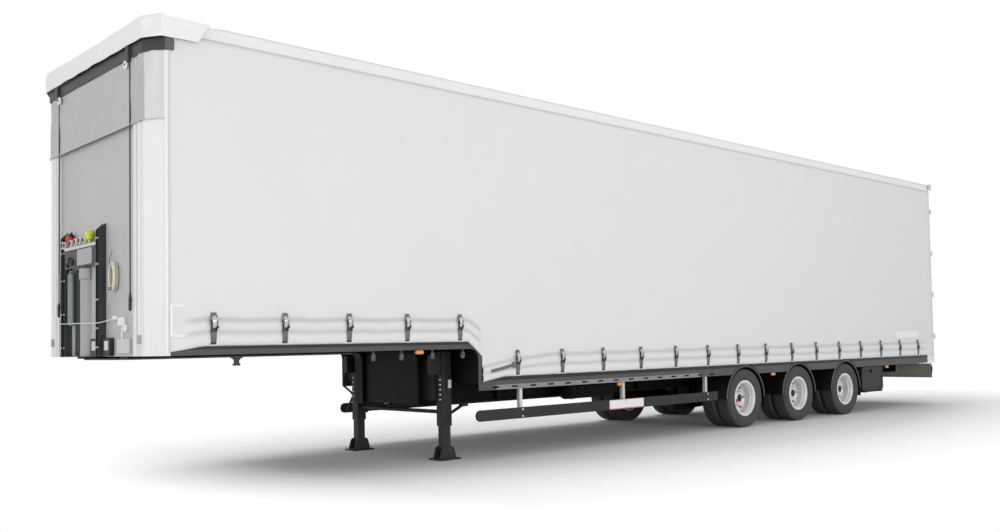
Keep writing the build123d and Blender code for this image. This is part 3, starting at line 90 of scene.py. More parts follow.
# Colours and textures that several finishes share
PURE_WHITE = (1.0, 1.0, 1.0, 1.0)
# the colour of the painted shade in the curtain's creases
CREASE_SHADE_COLOUR: Colour = (0.10, 0.10, 0.105)
DUST_COLOUR: Colour = (0.30, 0.28, 0.25)
CLOUD_SCALE = 2.3
SPECK_SCALE = 46.0
SOFT_EDGE = 0.002
THREAD_PITCH = 0.006
ZINC_CELLS = 55.0


class Value:
    """A shader socket that takes part in Python expressions."""

    def __init__(self, graph: "Graph", socket: bpy.types.NodeSocket) -> None:
        """Keeps the socket and the graph that it belongs to."""
        self.graph = graph
        self.socket = socket

    def _math(self, operation: str, first: Number, second: Number) -> "Value":
        """Adds a Math node for the operation on two values."""
        return self.graph.node("ShaderNodeMath", {"operation": operation}, {0: first, 1: second})

    def __add__(self, other: Number) -> "Value":
        """Gives self + other."""
        return self._math("ADD", self, other)

    __radd__ = __add__

    def __sub__(self, other: Number) -> "Value":
        """Gives self - other."""
        return self._math("SUBTRACT", self, other)

    def __rsub__(self, other: Number) -> "Value":
        """Gives other - self."""
        return self._math("SUBTRACT", other, self)

    def __mul__(self, other: Number) -> "Value":
        """Gives self * other."""
        return self._math("MULTIPLY", self, other)

    __rmul__ = __mul__

    def __pow__(self, other: Number) -> "Value":
        """Gives self to the power of other."""
        return self._math("POWER", self, other)

    def sine(self) -> "Value":
        """Gives the sine of the value."""
        return self._math("SINE", self, 0.0)

    def fitted(self, low: float, high: float) -> "Value":
        """Maps the stretch from low to high on 0 to 1, held at its ends."""
        return self.graph.node("ShaderNodeMapRange", {"clamp": True}, {0: self, 1: low, 2: high})

    def within(self, low: float, high: float) -> "Value":
        """Gives 1 between low and high and 0 elsewhere, with soft edges."""
        return self.fitted(low, low + SOFT_EDGE) * (1.0 - self.fitted(high, high + SOFT_EDGE))

    def blend(self, first: Union[Colour, "Value"], second: Union[Colour, "Value"]) -> "Value":
        """Mixes two colours by this value: the first where it is 0, the second where it is 1."""
        ends = [(*end, 1.0) if isinstance(end, tuple) else end for end in (first, second)]
        return self.graph.node("ShaderNodeMix", {"data_type": "RGBA"}, {0: self, 6: ends[0], 7: ends[1]}, 2)


class Graph:
    """The node tree of one material, or of the world."""

    def __init__(self, name: str, world: bool = False) -> None:
        """Starts an empty tree.

        Args:
            name: The name of the new material or world.
            world: Whether it is a world.
        """
        store = bpy.data.worlds if world else bpy.data.materials
        self.owner = store.new(name)
        self.owner.use_nodes = True
        self.tree = self.owner.node_tree
        self.tree.nodes.clear()
        self.end = "ShaderNodeOutputWorld" if world else "ShaderNodeOutputMaterial"

    def node(
        self,
        kind: str,
        settings: Optional[dict[str, object]] = None,
        inputs: Optional[dict[Union[int, str], object]] = None,
        out: Union[int, str] = 0,
    ) -> Value:
        """Adds a node of any kind.

        Args:
            kind: The node's type.
            settings: Properties of the node, set before its sockets.
            inputs: Values or links by socket name or number.
            out: The output that is wanted.

        Returns:
            That output as a value.
        """
        made = self.tree.nodes.new(kind)
        for key, setting in (settings or {}).items():
            setattr(made, key, setting)
        for key, given in (inputs or {}).items():
            if isinstance(given, Value):
                self.tree.links.new(given.socket, made.inputs[key])
            else:
                made.inputs[key].default_value = given
        return Value(self, made.outputs[out])

    def place(self) -> Value:
        """Gives the point in the object's own coordinates."""
        return self.node("ShaderNodeTexCoord", out="Object")

    def noise(self, place: Value, scale: float, detail: float = 3.0) -> Value:
        """Gives cloudy noise at so many lumps to the metre."""
        return self.node("ShaderNodeTexNoise", inputs={"Vector": place, "Scale": scale, "Detail": detail})

    def axes(self, place: Value) -> tuple[Value, Value, Value]:
        """Splits a point into its three numbers.

        Args:
            place: The point.

        Returns:
            Its places along, across and up.
        """
        split = self.node("ShaderNodeSeparateXYZ", inputs={0: place})
        outputs = split.socket.node.outputs
        return Value(self, outputs[0]), Value(self, outputs[1]), Value(self, outputs[2])

    def seen(self) -> Value:
        """Tells what the camera sees, also in gloss and through glass.

        Returns:
            1 for such rays and 0 for those that carry light to other surfaces.
        """
        rays = self.node("ShaderNodeLightPath").socket.node.outputs
        kinds = ("Is Camera Ray", "Is Glossy Ray", "Is Transmission Ray")
        first, second, third = (Value(self, rays[kind]) for kind in kinds)
        return (first + second + third).fitted(0.0, 1.0)

    def close(self, shader: Value) -> Union[bpy.types.Material, bpy.types.World]:
        """Links the shader to the tree's output.

        Args:
            shader: The last shader.

        Returns:
            The finished material or world.
        """
        end = self.tree.nodes.new(self.end)
        self.tree.links.new(shader.socket, end.inputs["Surface"])
        return self.owner


class Grain(Enum):
    """How the surface of a finish is textured."""

    PAINT = "paint"
    CLOTH = "cloth"
    WEBBING = "webbing"
    RUBBER = "rubber"
    MOULDED = "moulded"
    ZINC = "zinc"
    BOARD = "board"
    LENS = "lens"
    CORD = "cord"


@dataclass(frozen=True)
class Band:
    """A stretch of a piece that has a second colour; the rails' dark bands are painted shade and the flap's
    pale band is painted light.
    """

    along: tuple[float, float]
    up: tuple[float, float]
    colour: Colour


@dataclass(frozen=True)
class Finish:
    """A colour with the texture, wear and dust of a real surface, with painted shade in cloth creases and
    bands of a second colour.
    """

    name: str
    slot: str
    colour: Colour
    roughness: float
    grain: Grain = Grain.PAINT
    metallic: float = 0.0
    coat: float = 0.0
    mottle: float = 0.05
    relief: float = 0.15
    dust: float = 0.0
    dust_top: float = 1.3
    gloss: float = 0.5
    # strength of the painted shade that darkens cloth along its creases, read from the mesh's fold attribute
    crease_shade: float = 0.0
    # stretches of a second colour: painted shade on the rails under the hems, painted light on the flap's
    # sides, a paler strip low on the rail
    bands: tuple["Band", ...] = ()

    def _cells(self, place: Value) -> dict[str, object]:
        """Gives the sockets of the zinc's cells at a point."""
        return {"Vector": place, "Scale": ZINC_CELLS}

    def _relief(self, graph: Graph, place: Value) -> Value:
        """Gives the height of the fine texture, from 0 to 1.

        Args:
            graph: The tree of the material.
            place: The point on the surface.

        Returns:
            A height: crossed sines for cloth, ribs for webbing, cord and lenses,
            cells for zinc, and noise at the grain's own scale for the rest.
        """
        along, across, up = graph.axes(place)
        if self.grain is Grain.CLOTH:
            thread = 2 * math.pi / THREAD_PITCH
            weave = ((along + across) * thread).sine() * (up * thread).sine()
            return weave * 0.25 + graph.noise(place, 9.0) * 0.75
        if self.grain is Grain.WEBBING:
            return (up * 900.0).sine() * 0.3 + graph.noise(place, 160.0)
        if self.grain is Grain.CORD:
            return ((along + across + up) * 1400.0).sine() * 0.5 + 0.5
        if self.grain is Grain.LENS:
            return ((along + across) * 520.0).sine() * 0.5 + 0.5
        if self.grain is Grain.ZINC:
            return graph.node("ShaderNodeTexVoronoi", inputs=self._cells(place), out="Distance")
        scales = {Grain.PAINT: 240.0, Grain.RUBBER: 90.0, Grain.MOULDED: 420.0, Grain.BOARD: 60.0}
        return graph.noise(place, scales[self.grain], 2.0)

    def material(self) -> bpy.types.Material:
        """Gives the finish's material, made on first use.

        Returns:
            A material whose colour is mottled by two noises, darkened by painted
            shade in its creases and dusted low down, with roughness that follows
            the mottle and a bump from the grain.
        """
        found = bpy.data.materials.get(self.name)
        if found is not None:
            return found
        graph = Graph(self.name)
        place = graph.place()
        clouds = graph.noise(place, CLOUD_SCALE, 4.0)
        specks = graph.noise(place, SPECK_SCALE, 3.0)
        mask = clouds * 0.6 + specks * 0.4
        height = self._relief(graph, place)
        if self.grain is Grain.ZINC:
            cells = graph.node("ShaderNodeTexVoronoi", inputs=self._cells(place), out="Color")
            mask = mask * 0.5 + graph.axes(cells)[0] * 0.5
        low = tuple(part * (1 - 2 * self.mottle) for part in self.colour)
        high = tuple(min(1.0, part * (1 + self.mottle)) for part in self.colour)
        shade = mask.fitted(0.3, 0.7).blend(low, high)
        # bands of a second colour, some of them painted light and painted shade
        for band in self.bands:
            along, _, up = graph.axes(place)
            inside = along.within(*band.along) * up.within(*band.up)
            shade = inside.blend(shade, band.colour)
        # painted shade: the mesh's fold attribute darkens the colour along the curtain's creases
        if self.crease_shade > 0:
            fold = graph.node("ShaderNodeAttribute", {"attribute_name": "fold"}, out="Fac")
            shade = (fold * self.crease_shade).blend(shade, CREASE_SHADE_COLOUR)
        if self.dust > 0:
            drop = 1.0 - graph.axes(place)[2].fitted(0.0, self.dust_top)
            shade = (drop * mask.fitted(0.35, 0.75) * self.dust).blend(shade, DUST_COLOUR)
        bump = graph.node(
            "ShaderNodeBump",
            inputs={"Strength": self.relief, "Distance": 0.002, "Height": height},
        )
        shader = graph.node(
            "ShaderNodeBsdfPrincipled",
            inputs={
                "Base Color": shade,
                "Roughness": (mask - 0.5) * 0.25 + self.roughness,
                "Metallic": self.metallic,
                "Coat Weight": self.coat,
                "Specular IOR Level": self.gloss,
                "Coat Roughness": 0.08,
                "Normal": bump,
            },
        )
        return graph.close(shader)


# the 0.30 strength below paints shade into the curtain's creases
CURTAIN = Finish(
    "curtain coated cloth", "curtain_cloth", (0.75, 0.75, 0.755), 0.45, Grain.CLOTH,
    mottle=0.008, relief=0.04, dust=0.05, dust_top=1.1, crease_shade=0.30,
)
HEM = Finish(
    "curtain hem tape", "curtain_cloth", (0.86, 0.86, 0.87), 0.45, Grain.CLOTH, mottle=0.01, relief=0.05
)
# the pale band paints light on the flap's sides and cut corners, lighter than its front
FLAP = Finish(
    "front flap cloth", "flap_cloth", (0.50, 0.50, 0.505), 0.5, Grain.CLOTH, mottle=0.04, relief=0.1,
    bands=(Band((6.0, 6.773), (2.9, 3.6), (0.70, 0.70, 0.705)),),
)
ROOF = Finish(
    "roof cover cloth", "roof_cloth", (0.86, 0.86, 0.87), 0.42, Grain.CLOTH, mottle=0.01, relief=0.05
)
WEB = Finish(
    "strap webbing", "buckle_steel", (0.16, 0.162, 0.165), 0.75, Grain.WEBBING, mottle=0.15, relief=0.4
)
BUCKLE = Finish(
    "buckle zinc plate", "buckle_steel", (0.55, 0.55, 0.56), 0.32, Grain.ZINC, metallic=0.8, mottle=0.12
)
BUCKLE_DARK = Finish(
    "buckle dark plate", "buckle_steel", (0.035, 0.035, 0.037), 0.42, Grain.ZINC, metallic=0.3, mottle=0.12
)
# the frame's black paint made about five times darker than the legs' black: painted shade for the underbody
CHASSIS = Finish(
    "chassis black paint with painted shade", "frame_black", (0.0055, 0.0055, 0.006), 0.5, mottle=0.2, dust=0.03, gloss=0.12
)
LEG = Finish(
    "leg black paint", "frame_black", (0.026, 0.026, 0.027), 0.45, mottle=0.2, dust=0.08,
    dust_top=0.6, gloss=0.22
)
RAIL = Finish(
    "rail dark paint", "rail_grey", (0.085, 0.085, 0.088), 0.45, mottle=0.08, dust=0.05, gloss=0.25,
    # the first and third bands are painted shade on the rails' tops under the two hems; the middle band is a
    # paler strip low on the rail
    bands=(
        Band((-6.70, 3.48), (0.790, 0.950), (0.026, 0.026, 0.028)),
        Band((-0.08, 3.30), (0.600, 0.748), (0.25, 0.25, 0.255)),
        Band((3.48, 6.70), (1.162, 1.400), (0.026, 0.026, 0.028)),
    ),
)
HEADER = Finish("header dark paint", "header_grey", (0.045, 0.045, 0.048), 0.45, mottle=0.1, gloss=0.3)
WALL = Finish("front wall grey", "wall_grey", (0.50, 0.50, 0.505), 0.42, mottle=0.03, relief=0.05)
WHITE = Finish(
    "white coated aluminium", "alu_white", (0.83, 0.83, 0.84), 0.33, coat=0.2, mottle=0.012, relief=0.03
)
DOOR = Finish(
    "door white panel", "door_white", (0.76, 0.76, 0.77), 0.35, coat=0.15, mottle=0.02, relief=0.04
)
GALV = Finish(
    "hot dip zinc", "galvanised", (0.62, 0.63, 0.62), 0.42, Grain.ZINC, metallic=0.6,
    mottle=0.07, relief=0.03
)
STEEL = Finish(
    "worn bare steel", "bare_steel", (0.10, 0.097, 0.092), 0.42, Grain.ZINC, metallic=0.8,
    mottle=0.2, relief=0.2
)
BOARD = Finish("deck board", "deck_ply", (0.13, 0.075, 0.042), 0.5, Grain.BOARD, mottle=0.2, relief=0.3)
RUBBER = Finish(
    "tyre rubber", "tyre_rubber", (0.066, 0.066, 0.068), 0.75, Grain.RUBBER, mottle=0.12,
    relief=0.15, gloss=0.3
)
BAG = Finish(
    "moulded rubber", "air_rubber", (0.014, 0.014, 0.015), 0.6, Grain.RUBBER, mottle=0.2,
    relief=0.3, gloss=0.2
)
RIM = Finish("rim silver paint", "rim_silver", (0.78, 0.78, 0.79), 0.32, metallic=0.1, mottle=0.03, coat=0.2)
HUB = Finish("hub black paint", "rim_silver", (0.016, 0.016, 0.018), 0.4, mottle=0.2, gloss=0.3)
NUT = Finish("wheel nut steel", "rim_silver", (0.45, 0.45, 0.46), 0.35, Grain.ZINC, metallic=0.8, mottle=0.1)
GUARD = Finish(
    "moulded black guard", "guard_plastic", (0.009, 0.009, 0.010), 0.45, Grain.MOULDED,
    mottle=0.15, dust=0.05, gloss=0.2
)
BOX = Finish(
    "moulded dark box", "guard_plastic", (0.020, 0.020, 0.022), 0.45, Grain.MOULDED,
    mottle=0.12, dust=0.05, gloss=0.25
)
PLANK = Finish(
    "side guard paint", "plank_grey", (0.026, 0.026, 0.028), 0.45, mottle=0.1, dust=0.06, gloss=0.25
)
AMBER = Finish(
    "amber lens", "lamp_amber", (0.80, 0.26, 0.02), 0.18, Grain.LENS, coat=0.6, mottle=0.05, relief=0.3
)
RED = Finish(
    "red lens", "lamp_red", (0.50, 0.012, 0.012), 0.18, Grain.LENS, coat=0.6, mottle=0.05, relief=0.3
)
CLEAR = Finish(
    "clear lens", "lamp_red", (0.75, 0.75, 0.76), 0.15, Grain.LENS, coat=0.6, mottle=0.05, relief=0.3
)
LAMP_BODY = Finish("lamp housing", "lamp_red", (0.02, 0.02, 0.02), 0.4, Grain.MOULDED, mottle=0.1)
CABLE = Finish(
    "sheathed cable", "cable_black", (0.028, 0.028, 0.030), 0.5, Grain.CORD, mottle=0.1, relief=0.2
)
SOCKET = Finish("cream socket", "socket_white", (0.74, 0.72, 0.64), 0.4, Grain.MOULDED, mottle=0.05)
RED_PLASTIC = Finish("red coupling", "coupling_red", (0.62, 0.035, 0.02), 0.35, Grain.MOULDED, mottle=0.05)
YELLOW_PLASTIC = Finish(
    "lime coupling", "coupling_yellow", (0.66, 0.72, 0.06), 0.35, Grain.MOULDED, mottle=0.05
)
DUCT = Finish("grey duct", "duct_grey", (0.40, 0.40, 0.41), 0.45, Grain.MOULDED, mottle=0.04)
CAN = Finish("grey green can", "can_green", (0.24, 0.28, 0.25), 0.42, mottle=0.16)
CORD = Finish(
    "cream sheathed cord", "cord_cream", (0.80, 0.76, 0.60), 0.38, Grain.CORD, mottle=0.06, relief=0.3
)
KNOT = Finish("dark lashing", "cord_cream", (0.10, 0.085, 0.07), 0.7, Grain.CORD, mottle=0.2, relief=0.4)
PLATE = Finish(
    "white reflector plate", "plank_grey", (0.84, 0.82, 0.82), 0.3, Grain.LENS, coat=0.3,
    mottle=0.02, relief=0.1
)
END_CAP = Finish("header end cap", "header_grey", (0.115, 0.115, 0.12), 0.45, mottle=0.08, gloss=0.3)
# the pale colour paints the highlight along each mudguard's edge
EDGE = Finish(
    "guard edge painted highlight", "guard_plastic", (0.17, 0.17, 0.175), 0.5, Grain.MOULDED, mottle=0.2, dust=0.1
)
TAB = Finish("dull zinc tab", "galvanised", (0.085, 0.085, 0.088), 0.5, Grain.ZINC, metallic=0.3, mottle=0.2)
OLIVE = Finish("olive carrier paint", "galvanised", (0.33, 0.34, 0.275), 0.5, mottle=0.1, dust=0.1)
LIGHT_BOX = Finish("pale grey box", "wall_grey", (0.62, 0.62, 0.625), 0.4, Grain.MOULDED, mottle=0.04)
STAND = Finish("stand dark paint", "frame_black", (0.045, 0.045, 0.047), 0.45, mottle=0.15, gloss=0.3)
# the dark green colour paints the shade beside the canister on the stand
SHADE_GREEN = Finish("black green painted shade", "frame_black", (0.012, 0.019, 0.017), 0.5, mottle=0.2, gloss=0.25)
BLANK = Finish("blank white plate", "frame_black", (0.70, 0.70, 0.70), 0.4, mottle=0.15)
PLATE_RIM = Finish("rose reflector rim", "plank_grey", (0.66, 0.22, 0.25), 0.35, mottle=0.05)


class Axis(Enum):
    """The direction that a profile is carried along, with its plane's two axes."""

    X = (0, 1, 2)
    Y = (1, 2, 0)
    Z = (2, 0, 1)


def rounded(width: float, height: float, radius: float, steps: int = 4) -> Array:
    """Gives a rounded rectangle: four quarter arcs round inset corners.

    Args:
        width: Full width along the first axis.
        height: Full height along the second axis.
        radius: Corner radius.
        steps: Points on each corner.

    Returns:
        An anticlockwise outline, centred on zero.
    """
    turn = np.arange(4)[:, None] * np.pi / 2 + np.linspace(0, np.pi / 2, steps)[None, :]
    signs = np.array([[1, 1], [-1, 1], [-1, -1], [1, -1]], float)
    centres = signs * (np.array([width, height]) / 2 - radius)
    ring = radius * np.stack([np.cos(turn), np.sin(turn)], -1)
    return (centres[:, None, :] + ring).reshape(-1, 2)


def circle(radius: float, count: int = 24) -> Array:
    """Gives a circle's outline of evenly spaced points."""
    turn = np.linspace(0, 2 * np.pi, count, endpoint=False)
    return radius * np.stack([np.cos(turn), np.sin(turn)], -1)


def smooth(points: Sequence[Sequence[float]], count: int) -> Array:
    """Gives a path through the points by Catmull-Rom cubics.

    Args:
        points: The points that it passes.
        count: How many points it has in the end.

    Returns:
        Evenly stepped points of the cubic blend of four neighbours.
    """
    known = np.asarray(points, float)
    padded = np.concatenate([2 * known[:1] - known[1:2], known, 2 * known[-1:] - known[-2:-1]])
    place = np.linspace(0, len(known) - 1, count)
    index = np.minimum(place.astype(int), len(known) - 2)
    part = (place - index)[:, None]
    before, start, end, after = (padded[index + shift] for shift in range(4))
    bend = 2 * before - 5 * start + 4 * end - after
    twist = 3 * (start - end) + after - before
    return start + 0.5 * part * (end - before + part * (bend + part * twist))


def used_points(keep: Array) -> Array:
    """Marks the points of a lattice: true where one of a point's four cells is kept."""
    cells = np.pad(keep, 1)
    return cells[1:, 1:] | cells[:-1, 1:] | cells[1:, :-1] | cells[:-1, :-1]


@dataclass(frozen=True)
class Block:
    """A bar with a rounded section, a stretch on its axis and softened ends."""

    wide: float
    tall: float
    radius: float
    low: float
    high: float
    edge: float = 0.003


@dataclass
class Shape:
    """Points and faces gathered for one mesh."""

    points: list[Array] = field(default_factory=list)
    faces: list[Array] = field(default_factory=list)
    total: int = 0

    def _take(self, points: Array, faces: Array) -> "Shape":
        """Adds points with the faces that count from them.

        Args:
            points: Any array whose last side is three.
            faces: Rows of point numbers, counted from these points.

        Returns:
            The shape itself.
        """
        self.points.append(points.reshape(-1, 3))
        self.faces.append(faces + self.total)
        self.total += len(self.points[-1])
        return self

    def grid(self, points: Array, round_columns: bool = False, keep: Optional[Array] = None) -> "Shape":
        """Adds a lattice of points as quads.

        Args:
            points: Rows by columns by three.
            round_columns: Whether the last column joins the first.
            keep: Which cells become faces, all by default.

        Returns:
            The shape itself, without points that no kept cell uses.
        """
        rows, columns = points.shape[:2]
        across = np.arange(columns - (not round_columns))
        row, column = np.meshgrid(np.arange(rows - 1), across, indexing="ij")
        here, beside = row * columns + column, row * columns + (column + 1) % columns
        corners = np.stack([here, beside, beside + columns, here + columns], -1)
        if keep is None:
            return self._take(points, corners.reshape(-1, 4))
        used = used_points(keep)
        number = np.cumsum(used) - 1
        return self._take(points[used], number[corners[keep]])

    def fan(self, ring: Array) -> "Shape":
        """Closes a ring of points with triangles to its middle.

        Args:
            ring: Points in order.

        Returns:
            The shape itself.
        """
        count = len(ring)
        step = np.arange(count)
        triangles = np.stack([step, (step + 1) % count, np.full(count, count)], -1)
        return self._take(np.concatenate([ring, ring.mean(0, keepdims=True)]), triangles)

    def prism(
        self,
        outline: Array,
        axis: Axis,
        low: float,
        high: float,
        centre: Sequence[float] = ORIGIN,
        edge: float = 0.0,
    ) -> "Shape":
        """Carries an outline straight along an axis, with softened ends.

        Args:
            outline: Points in the plane's two axes.
            axis: The direction that it is carried along.
            low: Where it starts on that axis.
            high: Where it ends.
            centre: Where the outline's zero lies.
            edge: How far the ends draw in.

        Returns:
            The shape itself.
        """
        along, first, second = axis.value
        shrink = 1 - edge / np.abs(outline).max()
        places = np.array([low, low + edge, high - edge, high]) if edge else np.array([low, high])
        scales = np.array([shrink, 1, 1, shrink]) if edge else np.ones(2)
        rings = np.zeros((len(places), len(outline), 3))
        rings[..., first] = centre[first] + scales[:, None] * outline[None, :, 0]
        rings[..., second] = centre[second] + scales[:, None] * outline[None, :, 1]
        rings[..., along] = centre[along] + places[:, None]
        self.grid(rings, round_columns=True)
        return self.fan(rings[0]).fan(rings[-1])

    def block(self, block: Block, axis: Axis, centre: Sequence[float] = ORIGIN) -> "Shape":
        """Adds a rounded bar along an axis, with its sizes counted from the centre."""
        outline = rounded(block.wide, block.tall, block.radius)
        return self.prism(outline, axis, block.low, block.high, centre, block.edge)

    def lathe(
        self,
        profile: Union[Array, Profile],
        axis: Axis,
        centre: Sequence[float] = ORIGIN,
        count: int = 48,
    ) -> "Shape":
        """Turns a profile of radius and height about an axis.

        Args:
            profile: Rows of radius and place along the axis.
            axis: The axis of turning.
            centre: A point on it, from which places are counted.
            count: Steps in a full turn.

        Returns:
            The shape itself.
        """
        along, first, second = axis.value
        rows = np.asarray(profile, float)
        turn = np.linspace(0, 2 * np.pi, count, endpoint=False)
        rings = np.zeros((len(rows), count, 3))
        rings[..., first] = centre[first] + rows[:, :1] * np.cos(turn)
        rings[..., second] = centre[second] + rows[:, :1] * np.sin(turn)
        rings[..., along] = centre[along] + rows[:, 1:2]
        return self.grid(rings, round_columns=True)

    def sweep(
        self,
        outline: Array,
        path: Array,
        side: Sequence[float],
        ends: bool = True,
    ) -> "Shape":
        """Carries an outline along a path.

        Args:
            outline: Points across the path: along the side vector, then off it.
            path: Points that it follows.
            side: The side vector.
            ends: Whether the two ends are closed.

        Returns:
            The shape itself. At each point the frame is the side vector, made
            square to the tangent, and their cross product.
        """
        tangent = np.gradient(path, axis=0)
        tangent /= np.linalg.norm(tangent, axis=1, keepdims=True)
        aside = np.asarray(side, float)
        across = aside[None, :] - tangent * (tangent @ aside)[:, None]
        across /= np.linalg.norm(across, axis=1, keepdims=True)
        off = np.cross(tangent, across)
        width, height = outline[None, :, :1], outline[None, :, 1:]
        rings = path[:, None, :] + across[:, None, :] * width + off[:, None, :] * height
        self.grid(rings, round_columns=True)
        return self.fan(rings[0]).fan(rings[-1]) if ends else self

    def tiled(self, offsets: Union[Array, Sequence[Point]]) -> "Shape":
        """Gives a copy of the whole shape at each offset.

        Args:
            offsets: Rows of three.

        Returns:
            A new shape with all the copies.
        """
        points, rows = np.concatenate(self.points), np.asarray(offsets, float)
        moved = (rows[:, None, :] + points[None]).reshape(-1, 3)
        shift = np.arange(len(rows))[:, None, None] * len(points)
        faces = [(block[None] + shift).reshape(-1, block.shape[1]) for block in self.faces]
        return Shape([moved], faces, len(moved))

    def moved(self, matrix: Matrix) -> "Shape":
        """Gives a copy of the shape moved by a matrix.

        Args:
            matrix: The move, four by four.

        Returns:
            A new shape.
        """
        turn = np.array(matrix)
        points = np.concatenate(self.points) @ turn[:3, :3].T + turn[:3, 3]
        return Shape([points], list(self.faces), self.total)

    def both_sides(self) -> "Shape":
        """Gives the shape with its mirror image across the middle plane.

        Returns:
            A new shape; the image's faces run the other way round.
        """
        points = np.concatenate(self.points)
        faces = list(self.faces) + [block[:, ::-1] + self.total for block in self.faces]
        return Shape([points, points * MIRROR], faces, 2 * self.total)

    def build(
        self,
        name: str,
        finish: Finish,
        body: str = "trailer",
        crease: float = 35.0,
        closed: bool = True,
    ) -> bpy.types.Object:
        """Makes the mesh object, welds it, dresses it and sets it on a body.

        Args:
            name: The piece's name.
            finish: Its finish.
            body: The body that it rides on.
            crease: The angle in degrees past which an edge is sharp.
            closed: Whether points are welded and normals worked out again.

        Returns:
            The finished object.
        """
        mesh = bpy.data.meshes.new(name)
        faces = [row for block in self.faces for row in block.tolist()]
        mesh.from_pydata(np.concatenate(self.points), [], faces)
        if closed:
            work = bmesh.new()
            work.from_mesh(mesh)
            bmesh.ops.remove_doubles(work, verts=work.verts, dist=WELD)
            bmesh.ops.recalc_face_normals(work, faces=work.faces)
            work.to_mesh(mesh)
            work.free()
        mesh.shade_smooth()
        mesh.set_sharp_from_angle(angle=math.radians(crease))
        piece = bpy.data.objects.new(name, mesh)
        bpy.context.scene.collection.objects.link(piece)
        mesh.materials.append(finish.material())
        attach(piece, body)
        LOG.info("%s: %d faces", name, len(mesh.polygons))
        return piece

    def cloth(self, name: str, finish: Finish, crease: float = 60.0) -> bpy.types.Object:
        """Makes an open sheet with the thickness of coated cloth.

        Args:
            name: The piece's name.
            finish: Its finish.
            crease: The angle in degrees past which an edge is sharp.

        Returns:
            The finished object.
        """
        piece = self.build(name, finish, crease=crease, closed=False)
        thicken(piece, CLOTH_T)
        return piece


def thicken(piece: bpy.types.Object, thickness: float) -> None:
    """Gives a sheet its thickness, inwards from the face that shows."""
    wall = piece.modifiers.new("thickness", "SOLIDIFY")
    wall.thickness, wall.offset, wall.use_rim = thickness, -1.0, True


def corners(node: str) -> tuple[Array, Array]:
    """Gives a node's lowest and highest corners."""
    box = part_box(node)
    return np.array(box[0]), np.array(box[1])


def bell(gap: Array, width: float) -> Array:
    """Gives a bell curve: 1 at no gap, falling off over the width."""
    return np.exp(-((gap / width) ** 2))


def ramp(place: Array, start: float, run: float) -> Array:
    """Gives 0 up to the start and 1 past the run, on a straight line between."""
    return np.clip((place - start) / run, 0, 1)


@dataclass(frozen=True)
class Strap:
    """One curtain strap with its buckle, with its zero on the hem."""

    band: tuple[float, float, float] = (0.046, 0.003, 0.0013)
    lower_web: Route = (
        (0, 0.002, 0.014), (0, 0.008, 0.03), (0, 0.017, 0.06), (0, 0.018, 0.095), (0, 0.014, 0.125)
    )
    upper_web: Route = ((-0.006, 0.012, 0.228), (-0.006, 0.008, 0.246), (-0.005, 0.003, 0.268))
    lever: Route = (
        (-0.005, 0.020, 0.148), (-0.005, 0.028, 0.178), (-0.003, 0.031, 0.205), (0.004, 0.020, 0.240)
    )
    lever_band: tuple[float, float, float] = (0.036, 0.004, 0.0018)
    pin: Point = (0.003, 0.018, 0.212)
    pin_r: float = 0.005
    pin_half: float = 0.026
    pin_edge: float = 0.002
    cheeks: tuple[tuple[float, float], ...] = ((0.020, 0.029), (-0.022, -0.027))
    cheek_flare: float = 1.1
    cheek_rise: Profile = ((0.016, 0.116), (0.022, 0.160), (0.024, 0.210))
    cheek_band: tuple[float, float, float] = (0.005, 0.018, 0.0015)
    bars: tuple[tuple[float, float, Point], ...] = (
        (0.042, 0.036, (0.0, 0.014, 0.133)),
        (0.052, 0.012, (-0.006, 0.010, 0.236)),
        (0.016, 0.022, (-0.032, 0.018, 0.152)),
        (0.048, 0.016, (0.0, 0.006, 0.022)),
    )
    bar_t: float = 0.014
    bar_round: float = 0.004
    bar_edge: float = 0.003

    def parts(self) -> dict[Finish, Shape]:
        """Builds the strap's three shapes.

        Returns:
            Shapes by finish: webbing, lever and dark frame, from ribbons and
            rounded bars carried along paths in the plane across the trailer.
        """
        band = rounded(*self.band, 3)
        web = Shape().sweep(band, smooth(self.lower_web, 14), ALONG)
        web.sweep(band, smooth(self.upper_web, 8), ALONG)
        lever = Shape().sweep(rounded(*self.lever_band, 3), smooth(self.lever, 12), ALONG)
        pin = circle(self.pin_r, 12)
        lever.prism(pin, Axis.X, -self.pin_half, self.pin_half, self.pin, self.pin_edge)
        dark = Shape()
        for foot, head in self.cheeks:
            places = (foot, foot * self.cheek_flare, head)
            route = np.insert(np.array(self.cheek_rise), 0, places, axis=1)
            dark.sweep(rounded(*self.cheek_band, 3), smooth(route, 10), ALONG)
        for long, tall, centre in self.bars:
            bar = rounded(self.bar_t, tall, self.bar_round)
            dark.prism(bar, Axis.X, -long / 2, long / 2, centre, self.bar_edge)
        return {WEB: web, BUCKLE: lever, BUCKLE_DARK: dark}


